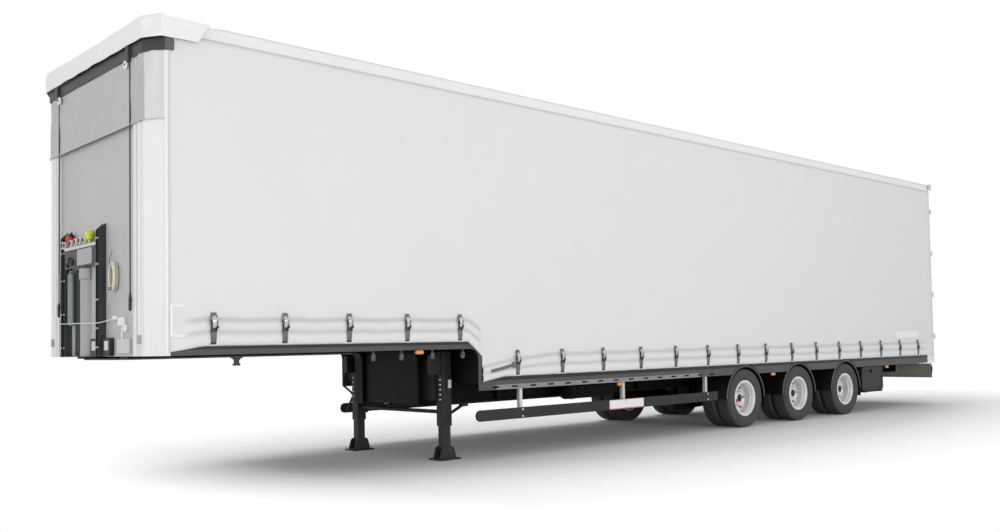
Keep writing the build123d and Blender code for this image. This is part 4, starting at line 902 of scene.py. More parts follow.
@dataclass
class SideCurtain:
    """One side's curtain with its hem, straps, buckles and patches."""

    side: int
    word: str
    step: float = 3.49
    high_hem: float = 1.19
    high_straps: int = 5
    low_straps: int = 15
    crease: float = 0.106
    crease_wave: float = 0.004
    strap_run: float = 0.32
    front_strap: float = 0.361
    step_straps: tuple[float, float] = (0.288, 0.468)
    rear_strap: float = 0.605
    puff: float = 0.019
    puff_power: float = 0.6
    pinch: float = 0.85
    pinch_run: float = 0.035
    pull: float = 0.004
    pull_up: float = 0.27
    pull_runs: tuple[float, float] = (0.06, 0.10)
    waves: tuple[tuple[float, float, float, float], ...] = (
        (0.0022, 2.9, 0.7, 0.4), (0.0016, 5.3, -1.9, 0.0)
    )
    calm_runs: tuple[float, float] = (0.5, 0.15)
    flat_ends: tuple[float, float] = (0.12, 0.1)
    flat_runs: tuple[float, float] = (0.1, 0.3)
    # where the painted shade along the two creases fades out at the ends, how wide it is and how strong the
    # lower crease's is
    crease_shade_ends: tuple[float, float] = (0.10, 0.2)
    crease_shade_widths: tuple[float, float] = (0.019, 0.024)
    crease_shade_share: float = 0.75
    hem_dip: float = 0.045
    hem_run: float = 0.29
    step_dip: float = 0.15
    step_runs: tuple[float, float] = (0.18, 0.9)
    step_fade: float = 0.6
    foot_fade: float = 0.3
    folds: float = 0.25
    inset: float = 0.002
    patch_out: float = 0.004
    blank_patch: Block = Block(0.105, 0.82, 0.012, -0.004, 0.0015, 0.0)
    blank_back: float = 0.99
    blank_up: float = 0.355
    corner_back: float = 0.008
    corner_up: float = 0.075
    corner_out: float = 0.0005
    corner_bars: tuple[tuple[Block, float, float], ...] = (
        (Block(0.255, 0.024, 0.005, -0.004, 0.003, 0.001), 0.014, 0.128),
        (Block(0.022, 0.100, 0.005, -0.004, 0.003, 0.001), 0.078, 0.011),
        (Block(0.020, 0.080, 0.005, -0.004, 0.003, 0.001), 0.068, 0.245),
    )
    tie: Route = ((3.39, 0.017, 0.893), (3.25, 0.021, 0.915), (3.10, 0.024, 0.945))
    tie_band: tuple[float, float, float] = (0.030, 0.004, 0.0018)
    tie_plate: Block = Block(0.06, 0.05, 0.008, -0.004, 0.012)
    tie_plate_at: Point = (3.085, 0.018, 0.947)

    def __post_init__(self) -> None:
        """Reads the curtain's place from the frame and sets out its straps."""
        low, high = corners("curtain_left")
        self.rear, self.front = low[0], high[0]
        self.low_hem, self.top = low[2] + self.hem_dip, high[2]
        self.skin = high[1]
        before, behind = self.step_straps
        self.high_x = np.linspace(self.front - self.front_strap, self.step + before, self.high_straps)
        self.low_x = np.linspace(self.step - behind, self.rear + self.rear_strap, self.low_straps)

    def dip(self, x: Array, z: Array) -> Array:
        """Gives how far the cloth hangs down.

        Args:
            x: Places along the trailer.
            z: Heights.

        Returns:
            Drops at the two front corners and at the step, each a straight line
            off its corner that fades with height.
        """
        at_front = self.hem_dip * ramp(x, self.front - self.hem_run, self.hem_run)
        before, behind = self.step_runs
        gap = np.where(x > self.step, (x - self.step) / before, (self.step - x) / behind)
        at_step = self.step_dip * np.clip(1 - gap, 0, 1)
        below = ramp(z, self.low_hem, self.high_hem - self.low_hem)
        above = 1 - ramp(z, self.high_hem, self.step_fade)
        corner = self.hem_dip * np.clip(1 - (self.step - x) / self.hem_run, 0, 1) * (x <= self.step)
        foot = 1 - ramp(z, self.low_hem, self.foot_fade)
        return (at_front + at_step) * np.where(z < self.high_hem, below, above) + corner * foot

    def above_hem(self, x: Array, z: Array) -> tuple[Array, Array]:
        """Measures the cloth from its hem and its straps.

        Args:
            x: Places along the trailer.
            z: Heights.

        Returns:
            Heights over a line along the hem that waves by a cosine from strap to
            strap, and distances to the nearest strap.
        """
        hem = np.where(x > self.step, self.high_hem, self.low_hem)
        straps = np.concatenate([self.high_x, self.low_x])
        gap = np.abs(x[..., None] - straps).min(-1)
        wave = self.crease_wave * np.cos(np.clip(gap / self.strap_run, 0, 1) * np.pi)
        return z - hem - wave, gap

    def between_ends(self, x: Array, ends: tuple[float, float]) -> Array:
        """Fades from 1 along the curtain to 0 towards its front and rear ends.

        Args:
            x: Places along the trailer.
            ends: How far from the front and from the rear the fade reaches 0.

        Returns:
            The fade, a straight line at each end.
        """
        front, rear = ends
        front_run, rear_run = self.flat_runs
        return np.clip((self.front - front - x) / front_run, 0, 1) * ramp(x, self.rear + rear, rear_run)

    def bulge(self, x: Array, z: Array) -> Array:
        """Gives the cloth's stand-off from its plane, in metres.

        Args:
            x: Places along the trailer.
            z: Heights.

        Returns:
            Two puffed tubes above the hem (half sines between creases), pinched
            at each strap by a bell curve, with long shallow waves above.
        """
        height, gap = self.above_hem(x, z)
        inside = (height < 2 * self.crease) * (height > 0)
        tubes = np.abs(np.sin(np.pi * height / self.crease)) ** self.puff_power * inside
        pinch = 1 - self.pinch * bell(gap, self.pinch_run)
        fade = self.between_ends(x, self.flat_ends)
        over_folds, under_top = self.calm_runs
        calm = ramp(height, 2 * self.crease, over_folds) * np.clip((self.top - z) / under_top, 0, 1)
        waves = sum(size * np.sin(long * x + tall * z + start) for size, long, tall, start in self.waves)
        beside, above = self.pull_runs
        drawn = self.pull * bell(gap, beside) * bell(height - self.pull_up, above)
        return self.puff * tubes * pinch * fade + waves * calm - drawn

    def crease_shade(self, x: Array, z: Array) -> Array:
        """Gives how much painted shade darkens the two creases.

        Args:
            x: Places along the trailer.
            z: Heights.

        Returns:
            Bell curves about the creases' lines, faded at both ends.
        """
        height, _ = self.above_hem(x, z)
        first = bell(height - self.crease, self.crease_shade_widths[0])
        second = bell(height - 2 * self.crease, self.crease_shade_widths[1])
        return (self.crease_shade_share * first + second) * self.between_ends(x, self.crease_shade_ends)

    def lattice(self) -> tuple[Array, Array]:
        """Sets out the cloth's columns and rows, closer together in the folds.

        Returns:
            Places along the trailer and heights.
        """
        low_top, high_top = self.low_hem + self.folds, self.high_hem + self.folds
        xs = [np.linspace(self.rear, self.step, 220)[:-1], np.linspace(self.step, self.front, 70)]
        zs = [
            np.linspace(self.low_hem, low_top, 20)[:-1],
            np.linspace(low_top, self.high_hem, 8)[:-1],
            np.linspace(self.high_hem, high_top, 20)[:-1],
            np.linspace(high_top, self.top, 48),
        ]
        return np.concatenate(xs), np.concatenate(zs)

    def sheet(self) -> bpy.types.Object:
        """Builds the stepped cloth on a lattice of length by height.

        Returns:
            The cloth, which replaces the frame's plain solid.
        """
        xs, zs = self.lattice()
        x, z = np.meshgrid(xs, zs, indexing="ij")
        points = np.stack([x, self.skin - self.inset + self.bulge(x, z), z - self.dip(x, z)], -1)
        # painted shade for the two creases, one value for each point
        crease_shade = self.crease_shade(x, z)
        cell_x, cell_z = (xs[:-1] + xs[1:]) / 2, (zs[:-1] + zs[1:]) / 2
        keep = (cell_x[:, None] < self.step) | (cell_z[None, :] > self.high_hem)
        if self.side < 0:
            points, crease_shade, keep = points[::-1] * MIRROR, crease_shade[::-1], keep[::-1]
        piece = Shape().grid(points, keep=keep).cloth(f"curtain_{self.word}_cloth", CURTAIN)
        # the fold attribute carries the painted crease shade to the curtain's material
        fold = piece.data.attributes.new("fold", "FLOAT", "POINT")
        fold.data.foreach_set("value", crease_shade[used_points(keep)])
        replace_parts(piece, f"curtain_{self.word}")
        length, height = self.front - self.rear, self.top - self.low_hem
        notch = (self.front - self.step) * (self.high_hem - self.low_hem)
        length * height - notch
        return piece

    def straps(self) -> None:
        """Sets every strap and buckle along both hems of both sides."""
        xs = np.concatenate([self.high_x, self.low_x])
        hems = np.repeat([self.high_hem, self.low_hem], [self.high_straps, self.low_straps])
        rows = np.stack([xs, np.full(len(xs), self.skin), hems], -1)
        for finish, part in Strap().parts().items():
            name = "curtain_" + finish.name.replace(" ", "_")
            piece = part.tiled(rows).both_sides().build(name, finish)
            if finish is WEB:
                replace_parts(piece, "curtain_buckles")

    def patches(self) -> None:
        """Adds the corner patch and the blank patch to both sides."""
        out = self.skin + self.patch_out
        patch = Shape()
        for bar, back, up in self.corner_bars:
            x, z = self.front - self.corner_back - back, self.high_hem + self.corner_up + up
            patch.block(bar, Axis.Y, (x, out + self.corner_out, z))
        at_blank = (self.rear + self.blank_back, out, self.low_hem + self.blank_up)
        patch.block(self.blank_patch, Axis.Y, at_blank)
        patch.both_sides().build("curtain_patches", HEM)

    def corner_tie(self) -> None:
        """Adds the strap that ties the curtain's corner back at the step."""
        off = np.array([0.0, self.skin + self.patch_out, 0.0])
        tie = Shape().sweep(rounded(*self.tie_band, 3), smooth(self.tie + off, 12), UP)
        tie.block(self.tie_plate, Axis.Y, self.tie_plate_at + off)
        tie.both_sides().build("curtain_corner_tie", WEB)


@dataclass(frozen=True)
class FrontPlan:
    """The way of a cloth round the front: two sides, two cut corners and the face."""

    rear: float
    front: float
    half: float
    run: float = 0.095
    corner: float = 0.17
    close: float = 1e-6

    def walk(self, count: int) -> tuple[Array, Array, Array, Array]:
        """Walks round the front from the left side to the right.

        Args:
            count: Even steps, to which the plan's own corners are added.

        Returns:
            Distances walked, x and y there, and the distances of the corners.
        """
        left = np.array([
            (self.rear, self.half), (self.front - self.run, self.half), (self.front, self.half - self.corner)
        ])
        plan = np.concatenate([left, left[::-1] * np.array([1, -1])])
        lengths = np.concatenate([[0], np.cumsum(np.linalg.norm(np.diff(plan, axis=0), axis=1))])
        place = np.unique(np.concatenate([np.linspace(0, lengths[-1], count), lengths]))
        x, y = (np.interp(place, lengths, plan[:, column]) for column in (0, 1))
        return place, x, y, lengths

    def on_side(self, y: Array) -> Array:
        """Marks the points that lie on one of the two sides."""
        return np.abs(y) > self.half - self.close


@dataclass
class RoofCover:
    """The cloth cap round the front of the roof, and the roof sheet."""

    slant: float = 0.11
    radius: float = 0.045
    inset: float = 0.004
    hem_wave: float = 0.006
    hem_run: float = 0.03
    hem_shares: tuple[float, float] = (0.6, 0.4)
    hem_turns: float = 9.0
    crown: float = 0.004
    crown_turns: tuple[float, float] = (14.0, 5.0)
    ripple: float = 0.005
    ripple_turns: tuple[float, float] = (18.0, 30.0)
    cap_crease: float = 50.0
    ridge_back: float = 0.5
    skirt_rows: int = 11
    top_rows: int = 11
    cap_cut: tuple[float, float] = (2.9, 1.05)
    cap_area: float = 1.85
    sheet_width: float = 2.503
    arch_foot: float = 0.006
    arch_spare: float = 0.008
    sag: float = 0.006
    first_bow: float = 0.65
    bow_pitch: float = 1.27
    lap: float = 0.035
    tuck: float = 0.014
    tuck_run: float = 0.06

    def section(self, tall: float) -> tuple[Array, Array]:
        """Gives the cap's section from its hem up to the roof.

        Args:
            tall: The skirt's full height.

        Returns:
            Heights over the hem and how far they draw in: a straight skirt, then
            a quarter circle.
        """
        bend = np.linspace(0, np.pi / 2, 7)
        skirt = np.linspace(0, tall - self.radius, self.skirt_rows + 1)[:-1]
        rise = np.concatenate([skirt, tall - self.radius * (1 - np.sin(bend))])
        draw = np.concatenate([np.zeros(self.skirt_rows), self.radius * (1 - np.cos(bend))])
        return rise, draw

    def cap(self) -> bpy.types.Object:
        """Builds the cap: a skirt, a rounded edge and a crowned top.

        Returns:
            A surface over distance round the plan and distance up the skirt. The
            last part of each strip runs in to the middle of the roof.
        """
        low, high = corners("roof_cap")
        plan = FrontPlan(low[0], high[0], high[1])
        place, x, y, _ = plan.walk(150)
        tall = high[2] - low[2]
        rise, draw = self.section(tall)
        steady, waving = self.hem_shares
        hem = steady + waving * np.sin(self.hem_turns * place)[:, None]
        flare = self.hem_wave * np.exp(-rise / self.hem_run) * hem
        spine = np.stack([np.minimum(x, plan.front - self.ridge_back), np.zeros_like(x)], -1)[:, None, :]
        outer = np.stack([x, y], -1)[:, None, :]
        aim = spine - outer
        aim /= np.linalg.norm(aim, axis=-1, keepdims=True)
        skirt = outer + aim * (draw[None, :, None] - self.inset) - aim * flare[..., None]
        edge = skirt[:, -1:, :]
        inward = np.linspace(0, 1, self.top_rows + 1)[1:]
        flat = np.concatenate([skirt, edge + (spine - edge) * inward[None, :, None]], 1)
        heights = np.concatenate([low[2] + rise, np.full(self.top_rows, high[2])])
        height = np.tile(heights, (len(x), 1))
        level = np.clip((height - low[2]) / tall, 0, 1)
        bend_x = plan.front - plan.run
        fraction = np.clip((bend_x - x) / (bend_x - plan.rear), 0, 1) * plan.on_side(y) * (x < bend_x)
        flat[..., 0] += fraction[:, None] * self.slant * (1 - level)
        crown = self.crown * np.sin(flat @ np.array(self.crown_turns)) * level**4
        below = height < high[2] - self.radius
        round_plan, upwards = self.ripple_turns
        ripple = self.ripple * np.sin(round_plan * place[:, None] + upwards * height) * below
        points = np.concatenate([flat + ripple[..., None] * aim, (height - np.abs(crown))[..., None]], -1)
        piece = Shape().grid(points).cloth("roof_cap_cloth", ROOF, crease=self.cap_crease)
        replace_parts(piece, "roof_cap")
        return piece

    def tarp(self) -> bpy.types.Object:
        """Builds the roof sheet: an arch across, a sag between the bows, tucked under the cap.

        Returns:
            The sheet over length and width, which replaces the plain solid.
        """
        low, high = corners("roof_tarp")
        xs = np.linspace(low[0], high[0] + self.lap, 200)
        x, across = np.meshgrid(xs, np.linspace(-1, 1, 30), indexing="ij")
        bow = 1 - across**2
        arch = low[2] + self.arch_foot + (high[2] - low[2] - self.arch_spare) * bow
        sag = self.sag * np.sin(np.pi * (x - low[0] - self.first_bow) / self.bow_pitch) ** 2 * bow
        drop = self.tuck * ramp(x, high[0] - self.tuck_run, self.tuck_run)
        points = np.stack([x, across * high[1], arch - sag - drop], -1)
        piece = Shape().grid(points).cloth("roof_sheet_cloth", ROOF)
        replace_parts(piece, "roof_tarp")
        return piece


@dataclass
class FrontFlap:
    """The cloth flap under the header, with its folds."""

    fold: float = 0.014
    slack: float = 1.005
    inset: float = 0.002
    side_lean: float = 0.2
    upright_turns: tuple[float, float] = (38.0, 3.0)
    upright_run: float = 0.28
    slanted_turns: tuple[float, float] = (7.0, 9.0)
    hung_turns: tuple[float, float] = (4.2, -2.2)
    hem_run: float = 0.012
    shares: tuple[float, float, float, float] = (0.5, 0.175, 0.2, 0.7)

    def build(self) -> bpy.types.Object:
        """Builds the flap over distance round the front and height.

        Returns:
            The cloth: upright folds near the corners, slanted creases between
            and a rolled hem, each a sine or bell curve off the plane.
        """
        low, high = corners("front_flap")
        plan = FrontPlan(low[0], high[0], high[1])
        place, x, y, lengths = plan.walk(220)
        along, up = np.meshgrid(place, np.linspace(low[2], high[2], 44), indexing="ij")
        rise = (up - low[2]) / (high[2] - low[2])
        corner_gap = np.minimum(np.abs(along - lengths[2]), np.abs(along - lengths[3]))
        turns = (self.upright_turns, self.slanted_turns, self.hung_turns)
        upright, slanted, hung = (np.sin(long * along + tall * rise) for long, tall in turns)
        folds = (
            upright * bell(corner_gap, self.upright_run) * rise,
            slanted * np.sin(np.pi * rise),
            np.abs(hung) ** 6 * rise,
            bell(up - low[2], self.hem_run),
        )
        off = self.fold * sum(share * fold for share, fold in zip(self.shares, folds))
        turned = np.sign(y) * (np.abs(y) > plan.half - plan.corner)
        out = np.stack([np.where(plan.on_side(y), self.side_lean, 1.0), turned], -1)
        out /= np.linalg.norm(out, axis=1, keepdims=True)
        plane = np.stack([x, y], -1)[:, None, :] + (off - self.inset)[..., None] * out[:, None, :]
        points = np.concatenate([plane, up[..., None]], -1)
        piece = Shape().grid(points).cloth("front_flap_cloth", FLAP)
        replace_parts(piece, "front_flap")
        return piece


@dataclass
class FrontFittings:
    """Pulleys, lift cables, poles, brackets and screws on the front."""

    cable_x: float = 6.785
    cable_y: float = 0.825
    cable_r: float = 0.0055
    cable_foot: float = 0.12
    cable_weight: Profile = (
        (0.0, 0.0), (0.009, 0.002), (0.013, 0.02), (0.013, 0.10), (0.008, 0.13), (0.006, 0.16), (0.0, 0.162)
    )
    pulley_rim: Profile = (
        (0.011, -0.007), (0.031, -0.007), (0.036, 0.0), (0.031, 0.007), (0.011, 0.007), (0.011, -0.007)
    )
    pulley_hub: Profile = ((0.0, -0.006), (0.012, -0.006), (0.012, 0.009), (0.0, 0.011))
    pulley_off: Point = (0.016, -0.050, -0.042)
    pulley_arms: tuple[tuple[Block, float, float], ...] = (
        (Block(0.05, 0.13, 0.01, 0.0, 0.030, 0.004), 6.782, 0.035),
        (Block(0.07, 0.035, 0.008, 0.0, 0.022, 0.004), 6.788, 0.102),
    )
    end_cap: Block = Block(0.093, 0.075, 0.008, 1.2505, 1.263)
    end_cap_at: Point = (6.648, 0, 3.5575)
    hook: Block = Block(0.020, 0.10, 0.006, WALL_X, 6.778)
    hook_up: float = 0.03
    poles_at: tuple[tuple[float, ...], ...] = (
        (6.778, 0.998, 0.013, 1.20, 2.965),
        (6.777, 0.925, 0.008, 1.13, 2.965),
        (6.668, 1.240, 0.017, 1.135, 3.505),
    )
    pole_edge: float = 0.002
    white_round: float = 0.008
    white_edge: float = 0.004
    white_blocks: tuple[tuple[float, ...], ...] = (
        (0.445, 1.440, 0.085, 0.034, 0.018),
        (0.600, 1.405, 0.120, 0.070, 0.026),
        (0.665, 1.350, 0.060, 0.060, 0.020),
        (0.585, 1.310, 0.026, 0.130, 0.010),
    )
    pole_foot: Block = Block(0.030, 0.034, 0.006, 1.215, 1.285)
    pole_foot_at: Point = (6.780, 0.998, 0)
    light_box: Block = Block(0.24, 0.120, 0.010, ON_WALL, 6.775, 0.005)
    light_box_at: Point = (0, 0.640, 1.205)
    wire: Route = ((6.813, -0.70, 1.418), (6.814, -0.3, 1.412), (6.813, 0.20, 1.404), (6.765, 0.42, 1.432))
    wire_r: float = 0.0035
    screw: Profile = ((0.0, 0.006), (0.006, 0.005), (0.008, 0.0))
    screw_x: float = 6.811
    screws_at: tuple[tuple[tuple[float, ...], tuple[float, ...]], ...] = (
        ((0.170, 0.205), (1.20, 1.36, 1.60, 1.90, 2.12)),
        ((-0.680, -0.610), (1.20, 1.50, 1.80, 2.05)),
    )

    def pulleys(self) -> None:
        """Adds a pulley in a bracket under each end of the header bar, and the bar's end caps."""
        base = corners("front_header")[0][2]
        centre = np.array([self.cable_x, self.cable_y, base]) + self.pulley_off
        Shape().lathe(self.pulley_rim, Axis.X, centre, 28).both_sides().build("lift_pulleys", WHITE)
        Shape().lathe(self.pulley_hub, Axis.X, centre, 16).both_sides().build("lift_pulley_hubs", HUB)
        bracket = Shape()
        for arm, x, up in self.pulley_arms:
            bracket.block(arm, Axis.X, (x, self.cable_y, base + up))
        bracket.both_sides().build("lift_brackets", HEADER)
        cap = Shape().block(self.end_cap, Axis.Y, self.end_cap_at)
        cap.both_sides().build("header_end_caps", END_CAP)

    def cables(self) -> None:
        """Builds the two taut lift cables with their hooks, carried on paths."""
        low, high = corners("lift_cables")
        foot, top = low[2], high[2]
        heights = np.array([foot + self.cable_foot, (foot + top) / 2, top])
        path = np.stack([np.full(3, self.cable_x), np.full(3, self.cable_y), heights], -1)
        line = Shape().sweep(circle(self.cable_r, 10), path, ACROSS)
        line.lathe(self.cable_weight, Axis.Z, (self.cable_x, self.cable_y, foot), 16)
        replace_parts(line.both_sides().build("lift_cables_line", CABLE), "lift_cables")
        hook = Shape().block(self.hook, Axis.X, (0, self.cable_y, foot + self.hook_up))
        hook.both_sides().build("lift_cable_hooks", WHITE)

    def poles(self) -> None:
        """Adds the bright poles on the posts, their feet and the curtain poles."""
        pole = Shape()
        for x, y, radius, low, high in self.poles_at:
            pole.prism(circle(radius, 16), Axis.Z, low, high, (x, y, 0), self.pole_edge)
        pole.both_sides().build("front_poles", WHITE)
        foot = Shape().block(self.pole_foot, Axis.Z, self.pole_foot_at)
        foot.both_sides().build("front_pole_feet", DUCT)

    def brackets(self) -> None:
        """Adds the white blocks, the loose wire, the pale box and the stand's screws."""
        white = Shape()
        for y, z, wide, tall, depth in self.white_blocks:
            block = Block(wide, tall, self.white_round, ON_WALL, ON_WALL + depth, self.white_edge)
            white.block(block, Axis.X, (0, y, z))
        white.sweep(circle(self.wire_r, 8), smooth(self.wire, 40), UP)
        white.build("front_white_fittings", WHITE)
        box = Shape().block(self.light_box, Axis.X, self.light_box_at)
        box.build("front_light_box", LIGHT_BOX)
        rows = [(0, y, z) for columns, heights in self.screws_at for y in columns for z in heights]
        screw = Shape().lathe(self.screw, Axis.X, (self.screw_x, 0, 0), 10)
        screw.tiled(rows).build("stand_screws", GALV)


@dataclass
class CouplingStand:
    """Air couplings, sockets, tray, plates and bottles on the front stand."""

    depth: float = 0.060
    shelf: float = 2.090
    head: Profile = (
        (0.0, 0.0), (0.026, 0.0), (0.030, 0.008), (0.030, 0.03),
        (0.036, 0.036), (0.038, 0.06), (0.026, 0.078), (0.0, 0.084),
    )
    head_off: Point = (0.004, 0.0, 0.04)
    head_lug: Block = Block(0.06, 0.028, 0.010, 0.018, 0.034)
    stem_r: float = 0.012
    stem: tuple[float, float] = (-0.04, 0.002)
    stem_edge: float = 0.001
    heads_at: tuple[tuple[float, str, Finish], ...] = (
        (-0.54, "air_coupling_red", RED_PLASTIC),
        (-0.06, "air_coupling_yellow", YELLOW_PLASTIC),
    )
    knob_off: Point = (6.785, -0.50, 0.10)
    knob: Profile = ((0.0, 0.0), (0.020, 0.0), (0.022, 0.012), (0.014, 0.024), (0.0, 0.026))
    socket: Profile = (
        (0.0, -0.03), (0.030, -0.03), (0.033, -0.02), (0.033, 0.004),
        (0.026, 0.008), (0.024, -0.004), (0.0, -0.004),
    )
    socket_foot: Block = Block(0.05, 0.03, 0.006, -0.03, -0.006)
    socket_down: float = 0.02
    hole_out: float = 0.002
    socket_hole: Profile = ((0.0, 0.0), (0.016, 0.0), (0.019, 0.004), (0.017, 0.009), (0.0, 0.011))
    sockets_at: tuple[tuple[float, float], ...] = (
        (-0.66, 0.035), (-0.60, 0.03), (-0.45, 0.035), (-0.34, 0.04), (-0.23, 0.045), (-0.13, 0.04)
    )
    tray_edge: Block = Block(0.74, 0.026, 0.008, -0.004, 0.006)
    tray_edge_at: tuple[float, float] = (-0.22, -0.012)
    panel: Block = Block(0.34, 0.14, 0.012, -0.004, 0.008, 0.004)
    panel_at: tuple[float, float] = (-0.10, 1.985)
    valves_at: tuple[tuple[float, float, float], ...] = (
        (-0.47, 1.97, 0.034), (-0.40, 1.955, 0.028), (-0.52, 1.94, 0.022)
    )
    valve: Profile = ((0.0, 0.0), (1.0, 0.0), (1.05, 0.012), (0.7, 0.022), (0.0, 0.026))
    valve_in: float = 0.002
    can_foot: Profile = ((0.0, 0.0), (0.022, 0.0), (0.028, 0.012))
    can_head: Profile = ((0.028, 0.05), (0.022, 0.03), (0.014, 0.025), (0.014, 0.0), (0.0, 0.0))
    collar_y: float = -0.20
    collar_deep: float = 0.062
    collar_half: float = 0.089
    collar_t: float = 0.004
    collar_rows: Profile = ((1.792, 0.0), (1.800, 1.0), (1.885, 1.0), (1.888, 0.6))
    # a dark green plate that paints the shade beside the canister
    shade_plate: Block = Block(0.170, 0.76, 0.010, ON_WALL, 6.764)
    back_plate_at: Point = (0, -0.385, 1.510)
    feet: tuple[tuple[Block, Point, Point], ...] = (
        (Block(0.180, 0.150, 0.008, ON_WALL, 6.790, 0.004), (0, 0.315, 1.200), (0, 0.335, 1.212)),
        (Block(0.175, 0.150, 0.008, ON_WALL, 6.790, 0.004), (0, 0.060, 1.200), (0, 0.050, 1.212)),
    )
    window: Block = Block(0.085, 0.078, 0.006, 6.7880, 6.7925, 0.001)
    bottle_at: Point = (6.778, -0.530, 0)
    bottle_half: tuple[float, float] = (0.025, 0.048)
    bottle_z: tuple[float, float] = (1.400, 1.870)
    neck_z: tuple[float, float] = (1.862, 1.892)
    neck_r: float = 0.014
    bottle_edge: float = 0.020
    neck_edge: float = 0.003
    bottle_crease: float = 50.0

    def __post_init__(self) -> None:
        """Works out the stand's front plane."""
        self.front = WALL_X + self.depth

    def heads(self) -> None:
        """Adds the two coupling heads, lathed caps with a side lug, and a knob."""
        for y, name, finish in self.heads_at:
            centre = np.array([WALL_X + self.depth / 2, y, self.shelf]) + self.head_off
            head = Shape().lathe(self.head, Axis.Z, centre, 28)
            head.block(self.head_lug, Axis.Z, centre)
            head.prism(circle(self.stem_r, 14), Axis.Z, *self.stem, centre, self.stem_edge)
            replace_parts(head.build(name + "_head", finish), name)
        at_knob = np.array([0.0, 0.0, self.shelf]) + self.knob_off
        Shape().lathe(self.knob, Axis.Z, at_knob, 20).build("coupling_knob", HUB)

    def sockets(self) -> None:
        """Adds the sockets: lathed bodies that face forwards, with dark holes."""
        body, hole = Shape(), Shape()
        for y, up in self.sockets_at:
            z = self.shelf + up
            body.lathe(self.socket, Axis.X, (self.front, y, z), 24)
            body.block(self.socket_foot, Axis.X, (self.front, y, z - self.socket_down))
            hole.lathe(self.socket_hole, Axis.X, (self.front + self.hole_out, y, z), 20)
        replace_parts(body.build("coupling_sockets", SOCKET), "couplings")
        hole.build("coupling_socket_holes", HUB)

    def tray(self) -> None:
        """Adds the light tray edge, the panel and the valves under it."""
        y, up = self.tray_edge_at
        edge = Shape().block(self.tray_edge, Axis.X, (self.front, y, self.shelf + up))
        edge.build("stand_tray_edge", GALV)
        panel = Shape().block(self.panel, Axis.X, (self.front, *self.panel_at))
        panel.build("stand_panel", DUCT)
        valve = Shape()
        for y, z, size in self.valves_at:
            profile = np.array(self.valve) * np.array([size, 1.0])
            valve.lathe(profile, Axis.X, (self.front - self.valve_in, y, z), 22)
        valve.build("stand_valves", HUB)

    def canister(self) -> None:
        """Turns the canister: its foot counted from below, its shoulder and neck from the top."""
        low, high = corners("canister")
        middle, tall = (low + high) / 2, high[2] - low[2]
        head = [(radius, tall - down) for radius, down in self.can_head]
        profile = np.array([*self.can_foot, *head])
        can = Shape().lathe(profile, Axis.Z, (middle[0], middle[1], low[2]), 28)
        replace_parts(can.build("canister_body", CAN), "canister")

    def collar(self) -> None:
        """Adds the collar round the duct: a half ellipse carried up over four rows."""
        back = corners("cable_duct")[0][0]
        turn = np.linspace(-np.pi / 2, np.pi / 2, 24)
        across = self.collar_y + self.collar_half * np.sin(turn)
        height, swell = (np.array(column)[:, None] for column in zip(*self.collar_rows))
        ahead = back + self.collar_deep * np.cos(turn) + swell * self.collar_t
        lattice = np.stack(np.broadcast_arrays(ahead, across, height), -1)
        thicken(Shape().grid(lattice).build("duct_collar", DUCT, closed=False), self.collar_t)

    def lower_plates(self) -> None:
        """Adds a dark green plate of painted shade beside the bottle, the foot plates with blank windows and
        the bottle.
        """
        back = Shape().block(self.shade_plate, Axis.X, self.back_plate_at)
        back.build("stand_back_plate", SHADE_GREEN)
        foot, window = Shape(), Shape()
        for plate, at_plate, at_window in self.feet:
            foot.block(plate, Axis.X, at_plate)
            window.block(self.window, Axis.X, at_window)
        foot.build("stand_foot_plates", LEG)
        window.build("stand_foot_windows", BLANK)
        oval = circle(1.0, 28) * np.array(self.bottle_half)
        bottle = Shape().prism(oval, Axis.Z, *self.bottle_z, self.bottle_at, self.bottle_edge)
        bottle.prism(circle(self.neck_r, 16), Axis.Z, *self.neck_z, self.bottle_at, self.neck_edge)
        bottle.build("stand_bottle", CAN, crease=self.bottle_crease)


